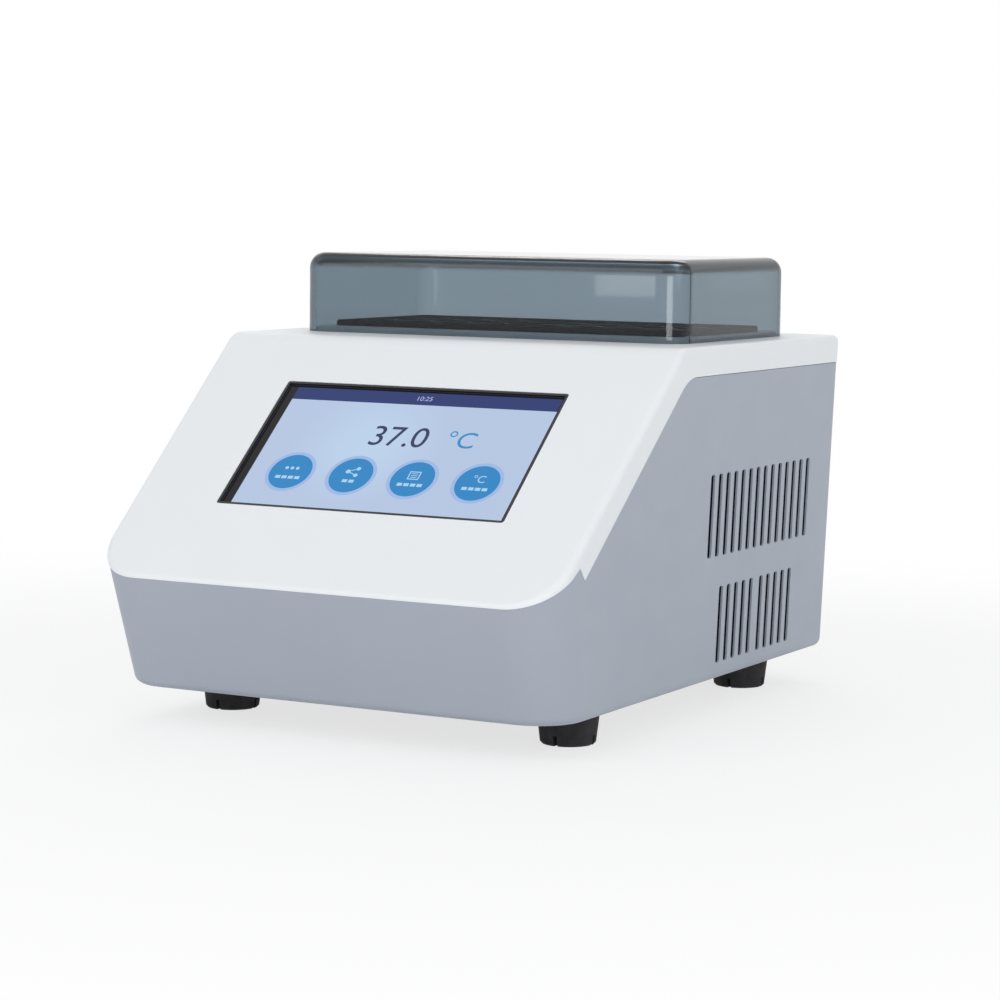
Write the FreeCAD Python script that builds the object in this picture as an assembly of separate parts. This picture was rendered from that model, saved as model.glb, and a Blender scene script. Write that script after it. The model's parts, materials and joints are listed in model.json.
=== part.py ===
"""Dry bath incubator with two heated and cooled blocks, in millimetres.

X points right seen from the front, Y to the back and Z up. The origin is the centre of the
footprint, on the surface that the four feet stand on. Every sub-part is one STEP file in parts/.
"""
import FreeCAD, Part
import math
import os

V = FreeCAD.Vector
X_AXIS = V(1, 0, 0)
Y_AXIS = V(0, 1, 0)
Z_AXIS = V(0, 0, 1)

# Outer form of the body
body_width = 258.0
body_depth = 329.0
body_height = 168.0
nose_height = 57.0
slope_angle = 40.6
front_lean_angle = 17.9
side_draft_angle = 2.2
front_corner_radius = 26.0
rear_corner_radius = 8.0
top_edge_radius = 3.5
crease_radius = 14.0
bottom_edge_radius = 5.0
wall = 3.0

# Parting line between the white cover and the grey housing
flange_depth = 14.5
lip_drop = 1.8
lip_angle = 32.0
lip_length = 28.4
parting_radius = 24.0
seam = 0.3
housing_step = 0.35
tongue_height = 4.0
tongue_wall = 1.4
tongue_clearance = 0.15

# Ventilation slots in both side walls, and the filter pockets behind them
vent_rear_inset = 98.7
vent_wall = 1.0
slot_width = 4.7
slot_pitch = 9.3
slot_corner_radius = 1.5
upper_slot_count = 14
upper_slot_length = 41.2
upper_slot_height = 63.4
lower_slot_count = 5
lower_slot_length = 38.6
lower_slot_height = 9.4
lower_group_spacing = 12.8
filter_thickness = 3.0
filter_margin = 3.5
filter_reach = 18.0
filter_clearance = 0.4

# Feet
foot_height = 17.0
foot_top_radius = 15.2
foot_bottom_radius = 13.3
foot_edge = 1.0
foot_recess_radius = 6.5
foot_recess_depth = 9.0
foot_slot_width = 2.0
foot_slot_height = 5.0
foot_side_inset = 34.7
foot_front_inset = 80.0
foot_rear_inset = 49.5

# Fasteners: shank radius, head radius and head height
small_screw = (1.5, 2.8, 2.0)
medium_screw = (2.0, 3.6, 2.6)
large_screw = (2.5, 4.5, 3.0)
screw_clearance = 0.1
screw_end_gap = 1.0
drive_ratio = 0.7

# Screw posts that join the cover and the housing
post_radius = 5.2
post_bore_radius = 4.1
post_cap = 3.0
case_screw_length = 15.0
rear_post_x = 106.0
rear_post_inset = 14.0
rear_post_height = 133.0
front_post_x = 104.0
front_post_inset = 45.0
front_post_height = 53.0
rib_thickness = 2.0

# Display window in the sloping face
window_width = 157.5
window_height = 86.0
window_shift = 1.7
window_lift = 8.3
window_corner_radius = 1.5
bezel_wall = 1.3
bezel_recess = 0.2
bezel_flange = 4.0
bezel_flange_thickness = 1.5
bezel_clearance = 0.15
bezel_gap = 0.5
glass_recess = 1.5
glass_thickness = 1.8
gasket_thickness = 0.5
lcd_side_margin = 5.5
lcd_end_margin = 7.0
lcd_thickness = 5.7
bracket_thickness = 1.2
bracket_ear = 12.0
bracket_side_band = 25.0
bracket_end_band = 22.5
display_boss_radius = 3.6
display_boss_inset = 8.0
display_screw_length = 6.0
display_board_side_gap = 14.0
display_board_end_gap = 8.0
board_thickness = 1.6
display_standoff_length = 6.0
standoff_radius = 2.6

# Clear lid, and the raised deck of the cover that locates it
lid_gap_x = 6.5
lid_gap_y = 17.0
lid_height = 41.0
lid_rear_inset = 28.7
lid_wall = 3.0
lid_corner_radius = 14.0
lid_top_radius = 8.0
lid_clearance = 0.4
deck_height = 2.5

# Block collar
collar_rim_x = 3.0
collar_rim_y = 5.6
collar_height = 3.0
collar_chamfer = 0.8
collar_skirt_depth = 9.0
collar_skirt_wall = 1.5
collar_bar = 3.4
collar_clearance = 0.3
collar_corner_radius = 4.0
hook_width = 12.0
hook_reach = 1.3

# Blocks with wells
block_width = 94.5
block_depth = 84.0
block_height = 50.0
block_clearance = 0.4
block_top_drop = 0.5
block_corner_radius = 3.0
well_radius = 8.5
well_depth = 44.0
well_tip_radius = 3.0
well_tip_depth = 6.0
well_chamfer = 0.7
well_columns = 4
well_rows = 3
well_pitch_x = 22.4
well_pitch_y = 26.0

# Heating and cooling stack under each block
heat_plate_thickness = 8.0
thermo_module_size = 40.0
thermo_module_thickness = 3.8
thermo_module_spacing = 43.0
thermo_ceramic = 0.8
thermo_core_inset = 1.5
heatsink_base_thickness = 7.0
heatsink_base_depth = 104.0
heatsink_gap = 4.0
fin_height = 32.0
fin_thickness = 1.4
fin_pitch = 5.5
fin_count = 15
stack_screw_x = 36.0
stack_screw_y = 32.0
insulation_wall_x = 3.0
insulation_wall_y = 9.0
insulation_gap = 0.3
sensor_radius = 2.0
sensor_depth = 30.0
sensor_tail = 16.0
sensor_clearance = 0.05

# Bridges that carry the stack, and the chassis plate
sheet = 1.5
bridge_flange = 9.0
bridge_foot = 12.0
bridge_window_height = 24.0
chassis_side_gap = 18.0
chassis_front_inset = 31.0
chassis_rear_inset = 13.0
chassis_corner_radius = 15.0
chassis_boss_height = 4.5
chassis_boss_radius = 6.0
chassis_screw_front_inset = 150.0

# Fans
fan_size = 80.0
fan_depth = 25.0
fan_duct_radius = 38.5
fan_corner_radius = 4.0
fan_hole_spacing = 71.5
fan_hub_radius = 16.0
fan_hub_wall = 1.5
fan_base_thickness = 2.5
fan_strut_width = 4.0
fan_strut_count = 4
fan_shaft_radius = 2.0
fan_shaft_clearance = 0.05
fan_bearing_radius = 4.5
fan_tip_gap = 1.1
fan_blade_count = 7
fan_blade_chord = 19.0
fan_blade_thickness = 1.4
fan_root_angle = 42.0
fan_tip_angle = 26.0
fan_screw_bite = 8.0
fan_strut_bite = 0.6
fan_tube_drop = 7.5
fan_shaft_start = 2.0
fan_rotor_start = 4.0
fan_rotor_drop = 1.25

# Power supply and control board
supply_width = 129.0
supply_depth = 97.0
supply_height = 38.0
supply_wall = 1.5
supply_x = -27.5
supply_front_inset = 31.0
supply_slot_count = 9
supply_slot_pitch = 11.0
supply_slot_width = 3.7
supply_slot_margin = 19.4
supply_leg_length = 4.0
control_board_width = 50.0
control_board_depth = 96.0
control_board_x = 69.0
control_board_front_inset = 40.0
control_standoff_length = 8.0
board_hole_margin = 4.5

# Parts on the boards: x and y from the middle of the board, then width, depth and height
display_parts = (
    (-22, 8, 22, 22, 1.8),
    (18, 12, 16, 11, 1.5),
    (-50, -20, 24, 9, 7.0),
    (8, -28, 34, 8, 6.0),
    (48, -18, 13, 13, 8.5),
    (46, 20, 10, 24, 4.5),
)
supply_blocks = (
    (-8, 0, 34, 30, 25.0),
    (-40, 24, 16, 24, 16.0),
    (22, -26, 8, 26, 24.0),
    (56, 0, 11, 62, 13.0),
)
control_parts = (
    (0, 8, 14, 14, 1.6),
    (-12, 30, 15, 19, 15.0),
    (17, 22, 5, 34, 20.0),
    (11, 30, 7, 10, 14.0),
    (11, 16, 7, 10, 14.0),
    (0, -40, 30, 9, 10.0),
    (-18, -12, 8, 26, 9.0),
    (16, -12, 8, 22, 9.0),
)

# Round capacitors on the supply board: x and y from its middle, then radius and height
supply_capacitors = (
    (-44, -22, 9.0, 25.0),
    (-22, -30, 9.0, 25.0),
    (30, 22, 6.5, 22.0),
    (30, 4, 6.5, 22.0),
)

# Mains inlet with fuse drawer and rocker switch, in a pocket of the rear wall
inlet_x = 55.0
inlet_height = 58.0
inlet_flange_width = 48.0
inlet_flange_height = 62.0
inlet_flange_thickness = 3.0
inlet_corner_radius = 3.0
inlet_body_width = 27.4
inlet_body_height = 57.0
inlet_body_depth = 24.0
inlet_clearance = 0.3
inlet_screw_spacing = 40.0
pocket_depth = 4.5
pocket_margin = 3.0
socket_width = 24.4
socket_height = 17.0
socket_depth = 16.0
socket_chamfer = 5.0
pin_width = 2.0
pin_height = 4.0
pin_spacing = 14.0
earth_offset = 4.0
pin_length = 13.0
pin_tab_length = 8.0
rocker_offset = 19.5
rocker_width = 20.7
rocker_half_length = 6.0
rocker_opening_width = 21.5
rocker_opening_height = 14.0
rocker_cavity_depth = 12.0
rocker_rest_angle = 9.0
rocker_wing_rise = 3.8
rocker_dish = 1.6
rocker_drop = 3.6
rocker_pivot_inset = 4.0
rocker_pivot_radius = 1.2
rocker_pivot_length = 1.8
rocker_pivot_clearance = 0.06
drawer_offset = -19.5
drawer_width = 23.0
drawer_height = 11.0
drawer_depth = 19.0
drawer_clearance = 0.25
drawer_front = 2.0
drawer_grip = 1.2
fuse_radius = 2.6
fuse_length = 20.0
fuse_spacing = 7.0

# Planes that follow from the sizes above
draft = math.radians(side_draft_angle)
lean = math.radians(front_lean_angle)
slope = math.radians(slope_angle)
z_bottom = foot_height
z_floor = z_bottom + housing_step + wall
z_nose = z_bottom + nose_height
z_top = z_bottom + body_height
nose_overhang = top_edge_radius * ((math.sin(slope) + math.cos(lean)) / (1 + math.sin(slope - lean)) - 1)
y_front = -body_depth / 2 - nose_overhang
y_back = body_depth / 2
y_crease = y_front + (z_top - z_nose) / math.tan(slope)
slope_length = (z_top - z_nose) / math.sin(slope)
window_drop = slope_length / 2 - window_lift
y_window = y_crease - window_drop * math.cos(slope)
z_window = z_top - window_drop * math.sin(slope)
lcd_width = window_width + 2 * lcd_side_margin
lcd_height = window_height + 2 * lcd_end_margin
display_board_width = lcd_width - 2 * display_board_side_gap
display_board_height = lcd_height - 2 * display_board_end_gap
y_vents = y_back - vent_rear_inset
bay_width = block_width + 2 * block_clearance
bay_depth = block_depth + 2 * block_clearance
bay_x = (bay_width + collar_bar) / 2
collar_width = 2 * bay_width + collar_bar + 2 * collar_rim_x
collar_depth = bay_depth + 2 * collar_rim_y
lid_width = collar_width + 2 * (lid_gap_x + lid_wall)
lid_depth = collar_depth + 2 * (lid_gap_y + lid_wall)
y_lid = y_back - lid_rear_inset - lid_depth / 2
y_module = y_lid
z_deck = z_top + deck_height
chassis_width = body_width - 2 * chassis_side_gap
z_chassis = z_floor + chassis_boss_height
z_chassis_top = z_chassis + sheet
z_block_top = z_deck + collar_height - block_top_drop
z_block = z_block_top - block_height
z_plate = z_block - heat_plate_thickness
z_sink_top = z_plate - thermo_module_thickness
z_sink_base = z_sink_top - heatsink_base_thickness
z_fins = z_sink_base - fin_height
z_fan = z_fins - fan_depth
heatsink_width = bay_width + collar_bar - heatsink_gap
sides = (("left", -1), ("right", 1))


def box(x0, x1, y0, y1, z0, z1):
    """Box between two corners."""
    return Part.makeBox(x1 - x0, y1 - y0, z1 - z0, V(x0, y0, z0))


def centred_box(x, y, z0, width, depth, height):
    """Box centred in plan on x, y and standing on z0."""
    return box(x - width / 2, x + width / 2, y - depth / 2, y + depth / 2, z0, z0 + height)


def rod(x, y, z0, z1, radius):
    """Upright cylinder."""
    return Part.makeCylinder(radius, z1 - z0, V(x, y, z0), Z_AXIS)


def rod_y(x, y0, y1, z, radius):
    """Cylinder along Y."""
    return Part.makeCylinder(radius, y1 - y0, V(x, y0, z), Y_AXIS)


def rod_x(x0, x1, y, z, radius):
    """Cylinder along X."""
    return Part.makeCylinder(radius, x1 - x0, V(x0, y, z), X_AXIS)


def edges_along(shape, axis):
    """Straight edges of a shape that run along an axis."""
    found = []
    for edge in shape.Edges:
        if isinstance(edge.Curve, Part.Line) and len(edge.Vertexes) == 2:
            run = edge.Vertexes[1].Point - edge.Vertexes[0].Point
            if run.cross(axis).Length < 1e-6 * run.Length:
                found.append(edge)
    return found


def edges_on_plane(shape, point, normal):
    """Edges of a shape that lie in one plane."""
    found = []
    for edge in shape.Edges:
        first, last = edge.ParameterRange
        probes = [edge.valueAt(first + (last - first) * step / 4) for step in range(5)]
        if all(abs((probe - point).dot(normal)) < 1e-4 for probe in probes):
            found.append(edge)
    return found


def rounded_plate(x, y, z0, width, depth, height, radius):
    """Upright plate or block with rounded upright edges."""
    solid = centred_box(x, y, z0, width, depth, height)
    return solid.makeFillet(radius, edges_along(solid, Z_AXIS))


def prism_x(points, x0, x1):
    """Side view given as (y, z) points, extruded from x0 to x1."""
    corners = [V(x0, y, z) for y, z in points]
    face = Part.Face(Part.makePolygon(corners + corners[:1]))
    return face.extrude(V(x1 - x0, 0, 0))


def fuse_all(shapes):
    """One solid of several that touch or overlap."""
    return shapes[0].multiFuse(shapes[1:]).removeSplitter()


def cut_all(shape, tools):
    """A shape less several others."""
    return shape.cut(Part.makeCompound(tools))


def screw(x, y, z_seat, direction, size, length):
    """Pan head screw: its shank runs along +Z or -Z from the seat, and its head lies behind."""
    shank_radius, head_radius, head_height = size
    axis = V(0, 0, direction)
    seat = V(x, y, z_seat)
    shank = Part.makeCylinder(shank_radius, length, seat, axis)
    head = Part.makeCylinder(head_radius, head_height, seat, -axis)
    drive = Part.makeCylinder(shank_radius * drive_ratio, head_height / 2, seat - axis * head_height, axis)
    return shank.fuse(head).cut(drive)


def at_window(shape):
    """Moves a shape from the display window's own frame to its place.

    That frame has its origin in the middle of the window, on the sloping face, with X to the right,
    Y up the slope and Z out of the face.
    """
    placed = shape.copy()
    middle = V(window_shift, y_window, z_window)
    placed.Placement = FreeCAD.Placement(middle, FreeCAD.Rotation(X_AXIS, slope_angle))
    return placed


def export(name, shape):
    """Writes one sub-part."""
    shape.exportStep(os.path.join("parts", name + ".step"))


# Body form, shared by both shells

def wall_corners(z, inset):
    """Plan corners of the body at one height, moved inwards by an inset."""
    half = body_width / 2 - (z_top - z) * math.tan(draft) - inset / math.cos(draft)
    front = y_front - (z - z_nose) * math.tan(lean) + inset / math.cos(lean)
    back = y_back - inset
    return [V(-half, front, z), V(half, front, z), V(half, back, z), V(-half, back, z)]


def upright_edges(block):
    """Long edges of the body that run up its corners."""
    return [edge for edge in block.Edges if edge.BoundBox.ZLength > body_height / 2]


def body_form(inset, soften):
    """Closed outer form of the body, offset inwards, with its outside edges softened if asked."""
    low = wall_corners(z_bottom + inset, inset)
    high = wall_corners(z_top, inset)
    loops = [low[::-1], high]
    for start in range(4):
        end = (start + 1) % 4
        loops.append([low[start], low[end], high[end], high[start]])
    faces = [Part.Face(Part.makePolygon(loop + loop[:1])) for loop in loops]
    shell = Part.Shell(faces)
    shell.sewShape()
    block = Part.Solid(shell)
    front_edges = [edge for edge in upright_edges(block) if edge.CenterOfMass.y < 0]
    block = block.makeFillet(front_corner_radius - inset, front_edges)
    rear_edges = [edge for edge in upright_edges(block) if edge.CenterOfMass.y > y_back - inset - 1e-3]
    block = block.makeFillet(rear_corner_radius - inset, rear_edges)
    crease = V(0, y_crease + inset * math.tan(slope / 2), z_top - inset)
    reach = body_depth
    below = [
        (crease.y, crease.z),
        (crease.y - reach * math.cos(slope), crease.z - reach * math.sin(slope)),
        (crease.y - reach * math.cos(slope), -reach),
        (reach, -reach),
        (reach, crease.z),
    ]
    form = block.common(prism_x(below, -body_width, body_width))
    if not soften:
        return form
    slope_normal = V(0, -math.sin(slope), math.cos(slope))
    folds = [edge for edge in edges_on_plane(form, crease, slope_normal)
             if abs(edge.CenterOfMass.z - crease.z) < 1e-3]
    form = form.makeFillet(crease_radius, folds)
    fold_reach = crease_radius * math.tan(slope / 2) + 1e-3
    upper = edges_on_plane(form, crease, slope_normal) + edges_on_plane(form, crease, Z_AXIS)
    upper = [edge for edge in upper if (edge.CenterOfMass - crease).Length > fold_reach]
    form = form.makeFillet(top_edge_radius, upper)
    lower = edges_on_plane(form, V(0, 0, z_bottom + inset), Z_AXIS)
    return form.makeFillet(bottom_edge_radius, lower)


def parting_wire_points(rise):
    """Side view of the parting line, from the front to the rear, raised by a distance."""
    nose = V(0, y_front, z_nose - lip_drop + rise)
    forward = V(0, -math.cos(math.radians(lip_angle)), -math.sin(math.radians(lip_angle)))
    ahead = nose + forward * body_depth / 4
    notch = nose - forward * (lip_length / math.cos(math.radians(lip_angle)))
    inward = V(0, math.sin(slope), -math.cos(slope))
    face_point = V(0, y_front, z_nose + rise)
    notch_depth = (notch - face_point).dot(inward)
    tip = notch + inward * (flange_depth - notch_depth)
    corner_y = y_crease + flange_depth * math.tan(slope / 2)
    corner = V(0, corner_y, z_top - flange_depth + rise)
    tangent = parting_radius * math.tan(slope / 2)
    before = corner - V(0, math.cos(slope), math.sin(slope)) * tangent
    after = corner + Y_AXIS * tangent
    centre = after - Z_AXIS * parting_radius
    middle = centre + V(0, -math.sin(slope / 2), math.cos(slope / 2)) * parting_radius
    rear = V(0, body_depth, corner.z)
    return ahead, notch, tip, before, middle, after, rear


def above_parting(rise):
    """All space above the parting line."""
    ahead, notch, tip, before, middle, after, rear = parting_wire_points(rise)
    roof = V(0, 0, z_top + body_depth)
    ahead_roof = V(0, ahead.y, roof.z)
    rear_roof = V(0, rear.y, roof.z)
    edges = [
        Part.makeLine(ahead, notch),
        Part.makeLine(notch, tip),
        Part.makeLine(tip, before),
        Part.Arc(before, middle, after).toShape(),
        Part.makeLine(after, rear),
        Part.makeLine(rear, rear_roof),
        Part.makeLine(rear_roof, ahead_roof),
        Part.makeLine(ahead_roof, ahead),
    ]
    face = Part.Face(Part.Wire(edges))
    face.translate(V(-body_width, 0, 0))
    return face.extrude(V(2 * body_width, 0, 0))


def post_places():
    """Screw posts that join the shells: x, y and the height at which post and boss meet."""
    places = []
    for side in (-1, 1):
        places.append((side * front_post_x, y_front + front_post_inset, z_bottom + front_post_height))
        places.append((side * rear_post_x, y_back - rear_post_inset, z_bottom + rear_post_height))
    return places


def foot_places():
    """Names and plan positions of the feet."""
    places = []
    for row, y in (("front", y_front + foot_front_inset), ("rear", y_back - foot_rear_inset)):
        for side, sign in sides:
            places.append(("foot_" + row + "_" + side, sign * (body_width / 2 - foot_side_inset), y))
    return places


def chassis_screw_places():
    """Plan positions of the screws that hold the chassis plate."""
    x_outer = chassis_width / 2 - 2 * chassis_boss_radius
    y_beside_fans = y_module - bridge_rail_y() + bridge_foot + 2 * chassis_boss_radius
    places = []
    for sign in (-1, 1):
        places.append((sign * x_outer, y_front + chassis_screw_front_inset))
        places.append((sign * x_outer, y_beside_fans))
        places.append((sign * bay_x, y_back - chassis_rear_inset - chassis_boss_radius))
    return places


# White cover

def cover_window():
    """Opening for the display, in the window's frame."""
    return rounded_plate(0, 0, -3 * wall, window_width, window_height, 6 * wall, window_corner_radius)


def display_boss_places():
    """Bosses for the display bracket, in the window's frame."""
    x = lcd_width / 2 + bracket_ear / 2
    y = lcd_height / 2 - display_boss_inset
    return [(sign_x * x, sign_y * y) for sign_x in (-1, 1) for sign_y in (-1, 1)]


def collar_opening():
    """Opening in the top for the block collar."""
    width = 2 * bay_width + collar_bar + 2 * (collar_skirt_wall + collar_clearance)
    depth = bay_depth + 2 * (collar_skirt_wall + collar_clearance)
    return rounded_plate(0, y_module, z_top - 3 * wall, width, depth, 6 * wall, collar_corner_radius)


def deck_plate(inset, z0, z1):
    """Plate with the outline of the raised deck inside the lid, drawn in by an inset."""
    shrink = lid_wall + lid_clearance + inset
    return rounded_plate(0, y_lid, z0, lid_width - 2 * shrink, lid_depth - 2 * shrink, z1 - z0,
                         lid_corner_radius - shrink)


def make_upper_cover():
    """White shell: sloping face, top with its raised deck, side and rear flanges, bosses inside."""
    inner = body_form(wall, False)
    shell = body_form(0, True).common(above_parting(seam)).cut(inner)
    keep_in = body_form(wall / 2, False)
    bosses = [deck_plate(0, z_top - wall, z_deck)]
    under_deck = deck_plate(wall, z_top - 2 * wall, z_deck - wall)
    holes = [at_window(cover_window()), collar_opening(), under_deck]
    shank_radius = medium_screw[0] + screw_clearance
    for x, y, z_meet in post_places():
        bosses.append(rod(x, y, z_meet, z_top, post_radius).common(keep_in))
        holes.append(rod(x, y, z_meet, z_meet + case_screw_length, shank_radius))
    boss_end = -bracket_depth()
    pilot = small_screw[0] + screw_clearance
    for x, y in display_boss_places():
        bosses.append(at_window(rod(x, y, boss_end, -wall / 2, display_boss_radius)))
        holes.append(at_window(rod(x, y, boss_end, boss_end + display_screw_length, pilot)))
    for sign in (-1, 1):
        y_rib = y_crease + wall
        rib = centred_box(sign * front_post_x, y_rib, z_top - flange_depth, rib_thickness,
                          2 * flange_depth, flange_depth)
        bosses.append(rib.common(keep_in))
    return cut_all(fuse_all([shell] + bosses), holes)


# Grey housing

def vent_slot(y, z0, length):
    """One slot through both side walls."""
    half = slot_width / 2
    slot = box(-body_width, body_width, y - half, y + half, z0, z0 + length)
    return slot.makeFillet(slot_corner_radius, edges_along(slot, X_AXIS))


def vent_slots():
    """Upper row of slots and the two lower groups."""
    slots = []
    for index in range(upper_slot_count):
        offset = (index - (upper_slot_count - 1) / 2) * slot_pitch
        slots.append(vent_slot(y_vents + offset, z_bottom + upper_slot_height, upper_slot_length))
    for group in (-1, 1):
        for index in range(lower_slot_count):
            offset = group * (lower_group_spacing / 2 + index * slot_pitch)
            slots.append(vent_slot(y_vents + offset, z_bottom + lower_slot_height, lower_slot_length))
    return slots


def filter_pockets(grow):
    """Space behind the thin wall at the slots of each side, enlarged round its rim."""
    half_y = (upper_slot_count - 1) / 2 * slot_pitch + slot_width / 2 + filter_margin + grow
    z0 = z_bottom + lower_slot_height - filter_margin - grow
    z1 = z_bottom + upper_slot_height + upper_slot_length + filter_margin + grow
    inside = body_form(housing_step + vent_wall, False)
    pockets = []
    for _, sign in sides:
        block = centred_box(sign * body_width / 2, y_vents, z0, 2 * filter_reach, 2 * half_y, z1 - z0)
        pockets.append(inside.common(block))
    return pockets


def make_vent_filters():
    """Foam sheets behind the slots, each in the pocket of its side wall."""
    behind = body_form(housing_step + vent_wall + filter_thickness, False)
    return [pocket.cut(behind) for pocket in filter_pockets(0)]


def pocket_box(grow, y0, y1):
    """Box around the inlet flange, for the pocket in the rear wall and its surround."""
    half_x = inlet_flange_width / 2 + pocket_margin + grow
    half_z = inlet_flange_height / 2 + pocket_margin + grow
    z = z_bottom + inlet_height
    solid = box(inlet_x - half_x, inlet_x + half_x, y0, y1, z - half_z, z + half_z)
    return solid.makeFillet(inlet_corner_radius + grow, edges_along(solid, Y_AXIS))


def make_lower_housing():
    """Grey shell: leaning front, drafted sides with vents, rear wall with pocket, floor and posts."""
    outer = body_form(housing_step, True)
    inner = body_form(housing_step + wall, False)
    upper_space = above_parting(0)
    shell = outer.cut(inner).cut(upper_space)
    tongue_outer = body_form(wall + tongue_clearance, False)
    tongue_inner = body_form(wall + tongue_clearance + tongue_wall, False)
    band = above_parting(-wall).cut(above_parting(tongue_height))
    display_width = window_width + 2 * (bezel_flange + bezel_gap)
    display_height = window_height + 2 * (bezel_flange + bezel_gap)
    display_space = at_window(centred_box(0, 0, -3 * wall, display_width, display_height, 6 * wall))
    tongue = tongue_outer.cut(tongue_inner).common(band).cut(display_space)
    y_pocket = y_back - pocket_depth
    surround = pocket_box(wall, y_pocket - wall, y_back).common(outer)
    solids = [shell, tongue, surround]
    holes = [pocket_box(0, y_pocket, y_back + wall)]
    for x, y, z_meet in post_places():
        solids.append(rod(x, y, z_bottom + wall, z_meet, post_radius))
        x_side = math.copysign(body_width, x)
        rib = box(min(x, x_side), max(x, x_side), y - rib_thickness / 2, y + rib_thickness / 2,
                  z_bottom + wall, z_meet - tongue_height)
        solids.append(rib.common(tongue_inner))
        holes.append(rod(x, y, z_bottom - wall, z_meet - post_cap, post_bore_radius))
        holes.append(rod(x, y, z_bottom, z_meet + wall, medium_screw[0] + screw_clearance))
    for _, x, y in foot_places():
        solids.append(rod(x, y, z_bottom + wall, z_chassis, chassis_boss_radius))
        holes.append(rod(x, y, z_bottom - wall, z_chassis + wall, large_screw[0] + screw_clearance))
    for x, y in chassis_screw_places():
        solids.append(rod(x, y, z_bottom + wall, z_chassis, chassis_boss_radius))
        holes.append(rod(x, y, z_floor, z_chassis + wall, medium_screw[0] + screw_clearance))
    cut_x = inlet_body_width / 2 + inlet_clearance
    cut_z = inlet_body_height / 2 + inlet_clearance
    z_inlet = z_bottom + inlet_height
    holes.append(box(inlet_x - cut_x, inlet_x + cut_x, y_pocket - 2 * wall, y_back,
                     z_inlet - cut_z, z_inlet + cut_z))
    for x in inlet_screw_places():
        holes.append(rod_y(x, y_pocket - 2 * wall, y_back, z_inlet, small_screw[0] + screw_clearance))
    housing = cut_all(fuse_all(solids), holes)
    housing = cut_all(housing, vent_slots())
    return cut_all(housing, filter_pockets(filter_clearance))


# Feet and case screws

def make_foot(x, y):
    """Tapered rubber foot with a screw recess and four slots in its rim."""
    profile = [
        V(foot_recess_radius, 0, 0),
        V(foot_bottom_radius - foot_edge, 0, 0),
        V(foot_bottom_radius, 0, foot_edge),
        V(foot_top_radius, 0, foot_height),
        V(large_screw[0] + screw_clearance, 0, foot_height),
        V(large_screw[0] + screw_clearance, 0, foot_recess_depth),
        V(foot_recess_radius, 0, foot_recess_depth),
    ]
    foot = Part.Face(Part.makePolygon(profile + profile[:1])).revolve(V(0, 0, 0), Z_AXIS, 360)
    reach = foot_top_radius
    start = (foot_recess_radius + foot_bottom_radius) / 2
    slots = []
    for quarter in range(4):
        slot = box(start, reach, -foot_slot_width / 2, foot_slot_width / 2, 0, foot_slot_height)
        slot.rotate(V(0, 0, 0), Z_AXIS, 90 * quarter)
        slots.append(slot)
    foot = cut_all(foot, slots)
    foot.translate(V(x, y, 0))
    return foot


def make_foot_screws():
    """One screw up through each foot into the housing floor."""
    length = z_chassis - foot_recess_depth - screw_clearance
    return [screw(x, y, foot_recess_depth, 1, large_screw, length) for _, x, y in foot_places()]


def make_case_screws():
    """Screws deep in the posts that pull the cover down on the housing."""
    length = case_screw_length + post_cap - screw_end_gap
    return [screw(x, y, z_meet - post_cap, 1, medium_screw, length) for x, y, z_meet in post_places()]


# Display

def bracket_depth():
    """Distance from the sloping face to the front of the display bracket."""
    return wall + bezel_flange_thickness + gasket_thickness + lcd_thickness


def display_frame(outer_width, outer_height, inner_width, inner_height, z0, z1):
    """Rectangular ring round the middle of the window, in the window's frame."""
    outer = centred_box(0, 0, z0, outer_width, outer_height, z1 - z0)
    inner = centred_box(0, 0, z0, inner_width, inner_height, z1 - z0)
    return outer.cut(inner)


def make_display_bezel():
    """Black liner of the window with a flange behind the cover."""
    width = window_width - 2 * bezel_clearance
    height = window_height - 2 * bezel_clearance
    inner_width = width - 2 * bezel_wall
    inner_height = height - 2 * bezel_wall
    z_flange = -wall - bezel_flange_thickness
    liner = display_frame(width, height, inner_width, inner_height, z_flange, -bezel_recess)
    uprights = edges_along(liner, Z_AXIS)
    corners = [edge for edge in uprights if abs(edge.CenterOfMass.x) > inner_width / 2 + bezel_clearance]
    liner = liner.makeFillet(window_corner_radius - bezel_clearance, corners)
    flange = display_frame(width + 2 * bezel_flange, height + 2 * bezel_flange, inner_width,
                           inner_height, z_flange, -wall)
    ledge = display_frame(inner_width, inner_height, inner_width - 2 * bezel_wall,
                          inner_height - 2 * bezel_wall, z_flange, -glass_recess - glass_thickness)
    return at_window(fuse_all([liner, flange, ledge]))


def make_touch_glass():
    """Touch panel that lies in the bezel, behind the face of the cover."""
    inset = 2 * (bezel_clearance + bezel_wall + bezel_clearance)
    z0 = -glass_recess - glass_thickness
    glass = centred_box(0, 0, z0, window_width - inset, window_height - inset, glass_thickness)
    return at_window(glass)


def make_display_gasket():
    """Foam ring between the bezel's flange and the display module."""
    z1 = -wall - bezel_flange_thickness
    width = window_width + bezel_flange
    height = window_height + bezel_flange
    return at_window(display_frame(width, height, window_width - bezel_flange,
                                  window_height - bezel_flange, z1 - gasket_thickness, z1))


def make_lcd_module():
    """Display module in its metal tray, open at the front over the screen."""
    z0 = -bracket_depth()
    tray = rounded_plate(0, 0, z0, lcd_width, lcd_height, lcd_thickness, window_corner_radius)
    screen = centred_box(0, 0, z0 + lcd_thickness - gasket_thickness, window_width - bezel_flange,
                         window_height - bezel_flange, lcd_thickness)
    return at_window(tray.cut(screen))


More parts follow.
